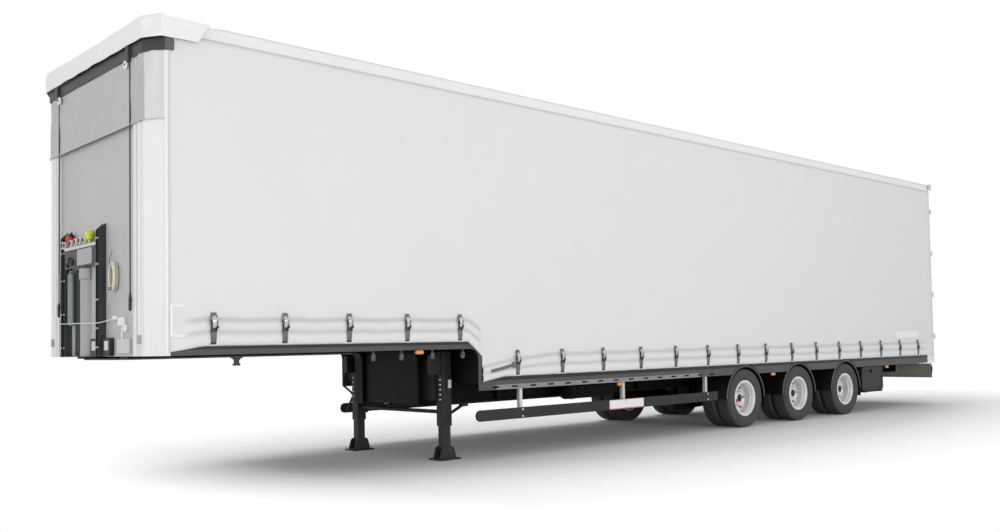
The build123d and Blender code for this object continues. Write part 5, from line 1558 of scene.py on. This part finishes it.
@dataclass
class CordHank:
    """The coil of customs cord that hangs from its hook on the front wall."""

    diameter: float = 0.006
    rows: int = 6
    layers: int = 6
    per_turn: int = 16
    hook_y: float = 0.440
    half_width: float = 0.038
    half_height: float = 0.084
    off_wall: float = 0.0045
    row_pitch: float = 1.04
    layer_pitch: float = 1.02
    slot_powers: tuple[float, float] = (0.8, 0.9)
    wobble: float = 0.0012
    wobble_turn: tuple[float, float] = (2.7, 0.5)
    loose_end: Route = ((0.002, -0.03, -0.02), (0.0, -0.06, -0.07))
    tie: Route = ((6.795, -0.02, 1.86), (6.79, -0.035, 1.92), (6.762, -0.05, 1.997))
    tie_r: float = 0.0025
    lashing_r: float = 0.004
    lashing_half: tuple[float, float] = (0.026, 0.034)
    lashing_up: tuple[float, float] = (0.022, 0.036)
    lashing_back: float = 0.012

    def __post_init__(self) -> None:
        """Reads the hank's place from the frame."""
        self.low, self.high = corners("rope_coil")

    def route(self) -> Array:
        """Winds the cord in long turns, layer by layer.

        Returns:
            The cord's points. Turn k follows a rounded slot whose half width grows
            with its row, at the depth of its layer, and the pitch eases from turn
            to turn. Two more points make the loose end.
        """
        step = np.arange(self.rows * self.layers * self.per_turn + 1) / self.per_turn
        layer = np.minimum((step // self.rows).astype(int), self.layers - 1)
        within = step - layer * self.rows
        grow = np.where(layer % 2 == 0, within, self.rows - within) * self.diameter * self.row_pitch
        angle = 2 * np.pi * step - np.pi / 2
        slot_y = np.sign(np.cos(angle)) * np.abs(np.cos(angle)) ** self.slot_powers[0]
        slot_z = np.sign(np.sin(angle)) * np.abs(np.sin(angle)) ** self.slot_powers[1]
        depth = WALL_X + self.off_wall + (step / self.rows) * self.diameter * self.layer_pitch
        turn, start = self.wobble_turn
        sway = self.wobble * np.sin(turn * step + start)
        y = self.hook_y + (self.half_width + grow) * slot_y + sway
        z = (self.low[2] + self.high[2]) / 2 + (self.half_height + grow) * slot_z
        loose_end = np.array([depth[-1], self.hook_y, self.low[2]]) + self.loose_end
        return np.concatenate([np.stack([depth, y, z], -1), loose_end])

    def lashing(self, middle: float) -> bpy.types.Object:
        """Ties the hank: two loops round its foot and a cord up to the hook.

        Args:
            middle: The hank's middle plane.

        Returns:
            The lashing, which goes with the cord.
        """
        knot = Shape()
        wrap = np.linspace(0, 2 * np.pi, 24)
        deep, wide = self.lashing_half
        ahead = middle + deep * np.cos(wrap)
        across = self.hook_y - self.lashing_back + wide * np.sin(wrap)
        for up in self.lashing_up:
            loop = np.stack([ahead, across, np.full(24, self.low[2] + up)], -1)
            knot.sweep(circle(self.lashing_r, 8), loop, UP, ends=False)
        tie = np.array([0.0, self.hook_y, 0.0]) + self.tie
        knot.sweep(circle(self.tie_r, 8), smooth(tie, 12), ACROSS)
        return knot.build("customs_cord_tie", KNOT)

    def build(self) -> bpy.types.Object:
        """Returns:
            The cord.
        """
        points = self.route()
        curve = bpy.data.curves.new("customs_cord", "CURVE")
        curve.dimensions, curve.resolution_u = "3D", 3
        curve.bevel_depth, curve.bevel_resolution, curve.use_fill_caps = self.diameter / 2, 2, True
        spline = curve.splines.new("NURBS")
        spline.points.add(len(points) - 1)
        spline.points.foreach_set("co", np.concatenate([points, np.ones((len(points), 1))], 1).ravel())
        spline.order_u, spline.use_endpoint_u = 3, True
        piece = bpy.data.objects.new("customs_cord", curve)
        bpy.context.scene.collection.objects.link(piece)
        curve.materials.append(CORD.material())
        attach(piece, "trailer")
        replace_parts(piece, "rope_coil")
        lashing = self.lashing((points[:, 0].min() + points[:, 0].max()) / 2)
        LOG.info("customs_cord: %d points", len(points))
        return piece


@dataclass
class TwinWheels:
    """Tyres with tread, wheel nuts, hubs, rim steps and valves on the six twin wheels."""

    pitch: float = 0.245
    middle: float = 1.010
    disc_out: float = 0.030
    sidewall: Profile = (
        (0.226, 0.074), (0.238, 0.086), (0.248, 0.088), (0.262, 0.098), (0.268, 0.0975), (0.300, 0.1055),
        (0.325, 0.1075), (0.345, 0.1055), (0.350, 0.1035), (0.362, 0.099), (0.372, 0.094), (0.3795, 0.086),
    )
    bore: Profile = ((0.2225, -0.074), (0.2225, 0.074))
    shoulder: float = 0.080
    grooves: tuple[float, ...] = (0.055, 0.019, -0.019, -0.055)
    groove_deep: float = 0.011
    groove_half: tuple[float, float] = (0.0060, 0.0040)
    shoulder_drop: float = 0.0008
    tyre_crease: float = 28.0
    rim_face: Profile = (
        (0.2128, 0.199), (0.2050, 0.193), (0.2035, 0.160), (0.1965, 0.152), (0.1950, 0.114), (0.2020, 0.100)
    )
    rim_back: Profile = ((0.2045, 0.100), (0.2095, 0.150), (0.2135, 0.199))
    hub_cap: Profile = (
        (0.0, 0.098), (0.030, 0.097), (0.052, 0.090), (0.060, 0.078),
        (0.063, 0.050), (0.080, 0.046), (0.086, 0.036), (0.086, 0.0),
    )
    marker: Block = Block(0.044, 0.034, 0.010, 0.066, 0.102, 0.004)
    marker_off: tuple[float, float] = (0.064, -0.034)
    nuts: int = 10
    nut_circle: float = 0.1125
    nut_r: float = 0.0165
    nut_stretch: tuple[float, float] = (0.0, 0.022)
    nut_edge: float = 0.003
    stud_r: float = 0.010
    stud_stretch: tuple[float, float] = (0.018, 0.034)
    stud_edge: float = 0.002
    valve_r: float = 0.006
    valve: Route = ((0.15, 0.004, 0.07), (0.165, 0.022, 0.08), (0.178, 0.048, 0.088))

    def wheels(self) -> Iterator[tuple[float, int, str]]:
        """Goes through the wheels from the front axle to the rear one.

        Returns:
            Each wheel's place along the trailer, its side and the end of its names.
        """
        for row, x in enumerate(AXLES, start=1):
            for side, word in SIDES:
                yield x, side, f"{word}_{row}"

    def tyre_profile(self) -> Array:
        """Gives the tyre's closed section as radius and place across.

        Returns:
            Rows from the inner bead round the sidewall, over four grooves in the
            crown, and back along the bore.
        """
        edge, foot = TYRE_R - self.shoulder_drop, TYRE_R - self.groove_deep
        wide, narrow = self.groove_half
        crown = [(edge, self.shoulder)]
        for groove in self.grooves:
            crown += [(TYRE_R, groove + wide), (foot, groove + narrow)]
            crown += [(foot, groove - narrow), (TYRE_R, groove - wide)]
        crown += [(edge, -self.shoulder)]
        back = [(radius, -place) for radius, place in reversed(self.sidewall)]
        return np.array([*self.sidewall, *crown, *back, *self.bore, self.sidewall[0]])

    def tyres(self) -> None:
        """Builds each twin pair of tyres, turned from one section."""
        profile = self.tyre_profile()
        for x, side, end in self.wheels():
            tyre = Shape()
            for shift in (self.pitch / 2, -self.pitch / 2):
                tyre.lathe(profile, Axis.Y, (x, side * self.middle + shift, TYRE_R), 96)
            piece = tyre.build(f"tyre_{end}_tread", RUBBER, f"wheel_set_{end}", crease=self.tyre_crease)
            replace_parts(piece, f"tyre_{end}")

    def nut_marker(self) -> None:
        """Adds the red marker on one nut of the first left wheel."""
        ahead, up = self.marker_off
        place = (AXLES[0] + ahead, self.middle + self.disc_out, TYRE_R + up)
        marker = Shape().block(self.marker, Axis.Y, place)
        marker.build("wheel_nut_marker", RED_PLASTIC, "wheel_set_left_1")

    def fittings(self) -> None:
        """Adds wheel nuts on a circle, a hub cap, rim steps and a valve to each wheel."""
        nut = Shape().prism(circle(self.nut_r, 6), Axis.Y, *self.nut_stretch, edge=self.nut_edge)
        nut.prism(circle(self.stud_r, 12), Axis.Y, *self.stud_stretch, edge=self.stud_edge)
        ring = circle(self.nut_circle, self.nuts)
        nuts = nut.tiled(np.stack([ring[:, 0], np.zeros(self.nuts), ring[:, 1]], -1))
        cap = Shape().lathe(self.hub_cap, Axis.Y, count=36)
        steps = Shape().lathe((*self.rim_face, *self.rim_back, self.rim_face[0]), Axis.Y, count=64)
        valve = Shape().sweep(circle(self.valve_r, 8), smooth(self.valve, 10), UP)
        for x, side, end in self.wheels():
            flip = Matrix.Identity(4) if side > 0 else Matrix.Rotation(math.pi, 4, "Z")
            disc = Matrix.Translation((x, side * (self.middle + self.disc_out), TYRE_R)) @ flip
            wheel = Matrix.Translation((x, side * self.middle, TYRE_R)) @ flip
            for name, shape, place, finish in (
                ("wheel_nuts", nuts, disc, NUT),
                ("hub_cap", cap, disc, HUB),
                ("rim_steps", steps, wheel, RIM),
                ("wheel_valve", valve, disc, NUT),
            ):
                shape.moved(place).build(f"{name}_{end}", finish, f"wheel_set_{end}")


@dataclass
class SideFittings:
    """Reflector plates, lamps, guard bolts, painted highlights on the mudguards' edges, lashing tabs and leg
    details on the sides.
    """

    side_y: float = 1.240
    lamps_at: tuple[tuple[float, float], ...] = (
        (4.255, 1.120), (1.420, 0.700), (-1.725, 0.700), (-5.000, 0.700)
    )
    lens: Block = Block(0.036, 0.094, 0.012, -0.014, 0.006, 0.006)
    lens_down: float = 0.022
    lens_foot: Block = Block(0.042, 0.100, 0.014, -0.030, -0.012)
    foot_down: float = 0.021
    reflector_x: float = 1.3185
    reflector_rim: Block = Block(0.108, 0.600, 0.008, 0.0005, 0.003, 0.001)
    reflector_plate: Block = Block(0.092, 0.584, 0.006, 0.002, 0.0045, 0.001)
    plate_up: float = 0.004
    bolt: Profile = ((0.0, 0.008), (0.010, 0.007), (0.013, 0.0))
    bolts_at: tuple[float, ...] = (2.947, 1.341, -0.230)
    bolts_up: tuple[float, float] = (-0.035, 0.035)
    guard_r: float = 0.428
    # the pale tube along each mudguard's edge, which carries a painted highlight
    edge_r: float = 0.006
    edge_in: float = 0.003
    edge_short: float = 0.02
    tabs_at: tuple[float, ...] = (4.747, 4.436, 4.075, 3.700)
    tab: Block = Block(0.070, 0.044, 0.018, 1.186, 1.206, 0.004)
    tab_z: float = 1.062
    tab_neck: Block = Block(0.034, 0.014, 0.005, 1.190, 1.202, 0.002)
    neck_z: float = 1.106
    leg_x: float = 3.610
    leg_out: float = 0.8325
    leg_face: float = 0.0575
    leg_plate: Block = Block(0.085, 0.042, 0.004, 0.0, 0.003, 0.001)
    leg_plate_off: Point = (-0.030, 0.0, 0.765)
    leg_bolt_y: float = 0.790
    leg_bolt: Profile = ((0.0, 0.010), (0.009, 0.009), (0.012, 0.0))
    leg_bolts_at: tuple[float, ...] = (0.610, 0.660, 0.710, 0.760, 0.810)

    def __post_init__(self) -> None:
        """Reads the side guard's middle height from the frame."""
        low, high = corners("side_guards")
        self.guard_z = (low[2] + high[2]) / 2

    def lamps(self) -> None:
        """Builds the amber side lamps: crowned lenses on dark feet."""
        lens, foot = Shape(), Shape()
        for x, z in self.lamps_at:
            lens.block(self.lens, Axis.Y, (x, self.side_y, z - self.lens_down))
            foot.block(self.lens_foot, Axis.Y, (x, self.side_y, z - self.foot_down))
        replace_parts(lens.both_sides().build("side_lamp_lenses", AMBER), "marker_lamps")
        foot.both_sides().build("side_lamp_feet", LAMP_BODY)

    def reflector(self) -> None:
        """Adds the pale reflector plate with its rose rim on the side guard."""
        at_plate = (self.reflector_x, self.side_y, self.guard_z + self.plate_up)
        rim = Shape().block(self.reflector_rim, Axis.Y, (self.reflector_x, self.side_y, self.guard_z))
        rim.both_sides().build("reflector_rims", PLATE_RIM)
        plate = Shape().block(self.reflector_plate, Axis.Y, at_plate)
        plate.both_sides().build("reflector_plates", PLATE)

    def trim(self) -> None:
        """Adds bolt heads on the guard and a pale tube along each mudguard's edge, whose pale colour is a
        painted highlight.
        """
        bolt = Shape().lathe(self.bolt, Axis.Y, (0, self.side_y, 0), 10)
        rows = [(x, 0, self.guard_z + up) for x in self.bolts_at for up in self.bolts_up]
        bolt.tiled(rows).both_sides().build("guard_bolts", GALV)
        turn = np.linspace(self.edge_short, np.pi - self.edge_short, 60)
        ahead, up = self.guard_r * np.cos(turn), TYRE_R + self.guard_r * np.sin(turn)
        edge = Shape()
        for x in AXLES:
            path = np.stack([x + ahead, np.full(60, self.side_y - self.edge_in), up], -1)
            edge.sweep(circle(self.edge_r, 8), path, ACROSS)
        edge.both_sides().build("mudguard_edges", EDGE)

    def tabs(self) -> None:
        """Adds lashing tabs under the left high rail."""
        tab = Shape()
        for x in self.tabs_at:
            tab.block(self.tab, Axis.Y, (x, 0, self.tab_z))
            tab.block(self.tab_neck, Axis.Y, (x, 0, self.neck_z))
        tab.build("lashing_tabs", TAB)

    def leg_details(self) -> None:
        """Adds a blank plate and a row of bolts to each leg."""
        at_plate = np.array([self.leg_x, self.leg_out, 0.0]) + self.leg_plate_off
        plate = Shape().block(self.leg_plate, Axis.Y, at_plate)
        plate.both_sides().build("leg_blank_plates", BLANK)
        bolt = Shape().lathe(self.leg_bolt, Axis.X, (self.leg_x + self.leg_face, 0, 0), 10)
        rows = [(0, self.leg_bolt_y, z) for z in self.leg_bolts_at]
        bolt.tiled(rows).both_sides().build("leg_bolts", GALV)


@dataclass
class RearDetails:
    """Lamp clusters, door seals, caps, plates and clips at the rear."""

    lamp_y: float = 0.970
    housing: tuple[float, float, float] = (0.42, 0.14, 0.02)
    housing_edge: float = 0.006
    lens: Block = Block(0.125, 0.116, 0.012, -0.005, 0.01, 0.004)
    lenses: tuple[tuple[float, Finish], ...] = ((-0.145, RED), (0.135, AMBER), (-0.005, CLEAR))
    seal_x: float = -6.724
    seal_y: tuple[float, float] = (0.0045, 1.171)
    seal_band: tuple[float, float, float] = (0.014, 0.012, 0.004)
    seal_z: tuple[float, float] = (0.900, 3.530)
    tube: Route = (
        (-6.665, 1.206, 0.52), (-6.672, 1.214, 0.555), (-6.680, 1.212, 0.60), (-6.690, 1.206, 0.63)
    )
    tube_r: float = 0.009
    clips: tuple[tuple[Block, Point], ...] = (
        (Block(0.022, 0.026, 0.004, 1.199, 1.208, 0.002), (-6.672, 0, 0.655)),
        (Block(0.030, 0.026, 0.004, 1.199, 1.208, 0.002), (-6.690, 0, 0.470)),
    )
    corner_plate: Block = Block(0.140, 0.190, 0.030, 1.236, 1.2465)
    corner_plate_at: Point = (-6.553, 0, 0.764)
    corner_cap: Block = Block(0.100, 0.110, 0.016, 1.2605, 1.268)
    corner_cap_at: Point = (-6.718, 0, 3.732)

    def lamps(self) -> None:
        """Builds each rear lamp: a housing with red, amber and clear lenses."""
        low, high = corners("rear_lamps")
        z = (low[2] + high[2]) / 2
        housing = Block(*self.housing, low[0], high[0], self.housing_edge)
        body = Shape().block(housing, Axis.X, (0, self.lamp_y, z))
        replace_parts(body.both_sides().build("rear_lamp_housings", LAMP_BODY), "rear_lamps")
        for shift, finish in self.lenses:
            lens = Shape().block(self.lens, Axis.X, (low[0], self.lamp_y + shift, z))
            lens.both_sides().build("rear_lamp_" + finish.name.replace(" ", "_"), finish)

    def seals(self) -> None:
        """Adds the rubber seals round each door, carried on the door's edge."""
        (inner, outer), (foot, head) = self.seal_y, self.seal_z
        loop = np.array([(inner, foot), (outer, foot), (outer, head), (inner, head)])
        loop = np.insert(loop, 0, self.seal_x, axis=1)
        seal = Shape()
        for start, end in zip(loop, np.roll(loop, -1, axis=0)):
            seal.sweep(rounded(*self.seal_band, 3), np.linspace(start, end, 3), ALONG)
        for side, word in SIDES:
            placed = seal if side > 0 else seal.moved(Matrix.Scale(-1, 4, ACROSS))
            placed.build(f"door_seal_{word}", BAG, f"rear_door_{word}")

    def carrier_fittings(self) -> None:
        """Adds a bent cable tube and two pale clips at each end of the lamp carrier."""
        tube = Shape().sweep(circle(self.tube_r, 12), smooth(self.tube, 14), ACROSS)
        tube.both_sides().build("carrier_tubes", BAG)
        clips = Shape()
        for clip, place in self.clips:
            clips.block(clip, Axis.Y, place)
        clips.both_sides().build("carrier_clips", GALV)

    def corner_plates(self) -> None:
        """Adds the white plates that close the rear ends of the side rails."""
        plate = Shape().block(self.corner_plate, Axis.Y, self.corner_plate_at)
        plate.both_sides().build("rear_corner_plates", WHITE)

    def corner_caps(self) -> None:
        """Adds the grey caps on the two top corners of the rear frame."""
        cap = Shape().block(self.corner_cap, Axis.Y, self.corner_cap_at)
        cap.both_sides().build("rear_corner_caps", LIGHT_BOX)


@dataclass(frozen=True)
class Lamp:
    """A large soft lamp of the studio."""

    name: str
    place: Point
    aim: Point
    width: float
    height: float
    power: float

    def hang(self) -> None:
        """Hangs the lamp and turns it to its aim."""
        data = bpy.data.lights.new(self.name, "AREA")
        data.shape = "RECTANGLE"
        data.size, data.size_y = self.width, self.height
        data.energy = self.power
        lamp = bpy.data.objects.new(self.name, data)
        lamp.location = self.place
        lamp.rotation_euler = (Vector(self.aim) - Vector(self.place)).to_track_quat("-Z", "Y").to_euler()
        bpy.context.scene.collection.objects.link(lamp)


@dataclass
class Studio:
    """Floor, lights, world and camera."""

    position: Point = (9.8625, 8.7422, 1.1656)
    yaw: float = 0.7928
    pitch: float = 0.0417
    roll: float = -0.0194
    focal_px: float = 982.4955
    middle_px: tuple[float, float] = (553.5428, 301.5549)
    image_px: tuple[int, int] = (1000, 532)
    sensor_mm: float = 36.0
    view_end: float = 200.0
    floor_half: float = 60.0
    paper: float = 0.80
    shade_middle: float = -1.0
    shade_along: float = 0.122
    shade_across: float = 0.27
    shade_edge: tuple[float, float] = (0.70, 1.25)
    shade_front: tuple[float, float] = (5.0, 7.3)
    # a white glow mixed into the floor everywhere, painted light that lifts its shadows
    floor_glow: float = 0.03
    sky: float = 0.665
    lamps: tuple[Lamp, ...] = (
        Lamp("key lamp", (3.0, 16.0, 2.5), (0.0, 0.0, 2.2), 16.0, 4.0, 750.0),
        Lamp("front lamp", (17.0, 3.0, 3.0), (6.0, 0.0, 2.0), 6.0, 4.0, 230.0),
        Lamp("top lamp", (-0.5, -4.0, 14.0), (-0.5, -0.5, 0.0), 8.0, 8.0, 740.0),
    )

    def camera(self) -> None:
        """Sets the camera from its fitted place, turn and focal length."""
        wide, tall = self.image_px
        data = bpy.data.cameras.new("camera")
        data.sensor_width = self.sensor_mm
        data.lens = self.focal_px * data.sensor_width / wide
        data.shift_x = (wide / 2 - self.middle_px[0]) / wide
        data.shift_y = (self.middle_px[1] - tall / 2) / wide
        data.clip_end = self.view_end
        forward = np.array([-math.cos(self.yaw), -math.sin(self.yaw), 0.0])
        up = np.array(UP, float)
        right = np.cross(forward, up)
        ahead = math.cos(self.pitch) * forward + math.sin(self.pitch) * up
        above = -math.sin(self.pitch) * forward + math.cos(self.pitch) * up
        turned_right = math.cos(self.roll) * right + math.sin(self.roll) * above
        turned_up = -math.sin(self.roll) * right + math.cos(self.roll) * above
        stand = np.eye(4)
        stand[:3] = np.stack([turned_right, turned_up, -ahead, self.position], -1)
        camera = bpy.data.objects.new("camera", data)
        bpy.context.scene.collection.objects.link(camera)
        camera.matrix_world = Matrix(stand.tolist())
        bpy.context.scene.camera = camera

    def floor(self) -> None:
        """Lays a pale floor that fades to white round the trailer, and in front of it, with a faint painted
        white glow that lifts its shadows.
        """
        steps = np.linspace(-self.floor_half, self.floor_half, 41)
        x, y = np.meshgrid(steps, steps, indexing="ij")
        shape = Shape().grid(np.stack([x, y, np.zeros_like(x)], -1))
        mesh = bpy.data.meshes.new("floor")
        mesh.from_pydata(shape.points[0], [], shape.faces[0].tolist())
        graph = Graph("studio floor")
        along, across, _ = graph.axes(graph.place())
        beside = (along - self.shade_middle) * self.shade_along
        reach = (beside**2.0 + (across * self.shade_across) ** 2.0) ** 0.5
        bare = (reach.fitted(*self.shade_edge) + along.fitted(*self.shade_front)).fitted(0.0, 1.0)
        fade = (bare * (1 - self.floor_glow) + self.floor_glow) * graph.seen()
        grey = (self.paper, self.paper, self.paper, 1.0)
        paper = graph.node("ShaderNodeBsdfDiffuse", inputs={"Color": grey})
        glow = graph.node("ShaderNodeEmission", inputs={"Color": PURE_WHITE, "Strength": 1.0})
        mixed = graph.node("ShaderNodeMixShader", inputs={0: fade, 1: paper, 2: glow})
        mesh.materials.append(graph.close(mixed))
        floor = bpy.data.objects.new("floor", mesh)
        bpy.context.scene.collection.objects.link(floor)

    def world(self) -> None:
        """Sets a soft even sky that the camera sees as white."""
        graph = Graph("studio sky", world=True)
        soft = graph.node("ShaderNodeBackground", inputs={"Color": PURE_WHITE, "Strength": self.sky})
        plain = graph.node("ShaderNodeBackground", inputs={"Color": PURE_WHITE, "Strength": 1.0})
        mixed = graph.node("ShaderNodeMixShader", inputs={0: graph.seen(), 1: soft, 2: plain})
        bpy.context.scene.world = graph.close(mixed)

    def build(self) -> None:
        """Sets up the whole studio: a key lamp on the left, one in front and one above."""
        self.camera()
        self.floor()
        self.world()
        for lamp in self.lamps:
            lamp.hang()
        bpy.context.scene.view_settings.view_transform = "Standard"


NODE_FINISHES: dict[Finish, tuple[str, ...]] = {
    CHASSIS: ("main_beams", "cross_members", "suspension_arms", "axle_beams", "air_tanks"),
    LEG: ("landing_legs", "landing_brace", "crank_handle"),
    STAND: ("connector_stand",),
    STEEL: ("coupler_plate", "kingpin"),
    RAIL: ("outer_rails",),
    HEADER: ("front_header",),
    BOARD: ("deck",),
    WALL: ("front_wall",),
    WHITE: ("front_posts", "cantrails", "rear_frame", "side_posts", "roof_bows"),
    DOOR: ("door_left", "door_right"),
    GALV: ("lock_bars_left", "lock_bars_right", "guard_posts"),
    OLIVE: ("rear_bumper",),
    CURTAIN: ("curtain_left", "curtain_right"),
    FLAP: ("front_flap",),
    ROOF: ("roof_cap", "roof_tarp"),
    BUCKLE: ("curtain_buckles",),
    CABLE: ("lift_cables",),
    BAG: ("air_bags", "dock_buffers"),
    GUARD: ("mudguards",),
    BOX: ("toolbox", "toolbox_lid"),
    PLANK: ("side_guards",),
    RED: ("rear_lamps",),
    AMBER: ("marker_lamps",),
    SOCKET: ("couplings",),
    RED_PLASTIC: ("air_coupling_red",),
    YELLOW_PLASTIC: ("air_coupling_yellow",),
    DUCT: ("cable_duct",),
    CAN: ("canister",),
    CORD: ("rope_coil",),
    RIM: tuple(f"wheel_{word}_{row}" for _, word in SIDES for row in (1, 2, 3)),
    RUBBER: tuple(f"tyre_{word}_{row}" for _, word in SIDES for row in (1, 2, 3)),
}


def dress_nodes(nodes: dict[str, bpy.types.Object]) -> None:
    """Gives every node of the frame its finish.

    Args:
        nodes: The frame's objects by name.
    """
    for finish, names in NODE_FINISHES.items():
        for name in names:
            mesh = nodes[name].data
            mesh.materials.clear()
            mesh.materials.append(finish.material())
            mesh.polygons.foreach_set("material_index", np.zeros(len(mesh.polygons), np.int32))


def main() -> None:
    logging.basicConfig(level=logging.INFO, format="%(name)s %(message)s")
    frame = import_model()
    dress_nodes(frame["nodes"])
    left, right = (SideCurtain(side, word) for side, word in SIDES)
    left.sheet()
    left.straps()
    left.patches()
    left.corner_tie()
    right.sheet()
    roof = RoofCover()
    roof.cap()
    roof.tarp()
    FrontFlap().build()
    fittings = FrontFittings()
    fittings.pulleys()
    fittings.cables()
    fittings.brackets()
    fittings.poles()
    stand = CouplingStand()
    stand.heads()
    stand.sockets()
    stand.tray()
    stand.canister()
    stand.collar()
    stand.lower_plates()
    CordHank().build()
    wheels = TwinWheels()
    wheels.tyres()
    wheels.fittings()
    wheels.nut_marker()
    sides = SideFittings()
    sides.lamps()
    sides.reflector()
    sides.trim()
    sides.tabs()
    sides.leg_details()
    rear = RearDetails()
    rear.lamps()
    rear.seals()
    rear.corner_caps()
    rear.corner_plates()
    rear.carrier_fittings()
    Studio().build()


if __name__ == "__main__":
    main()
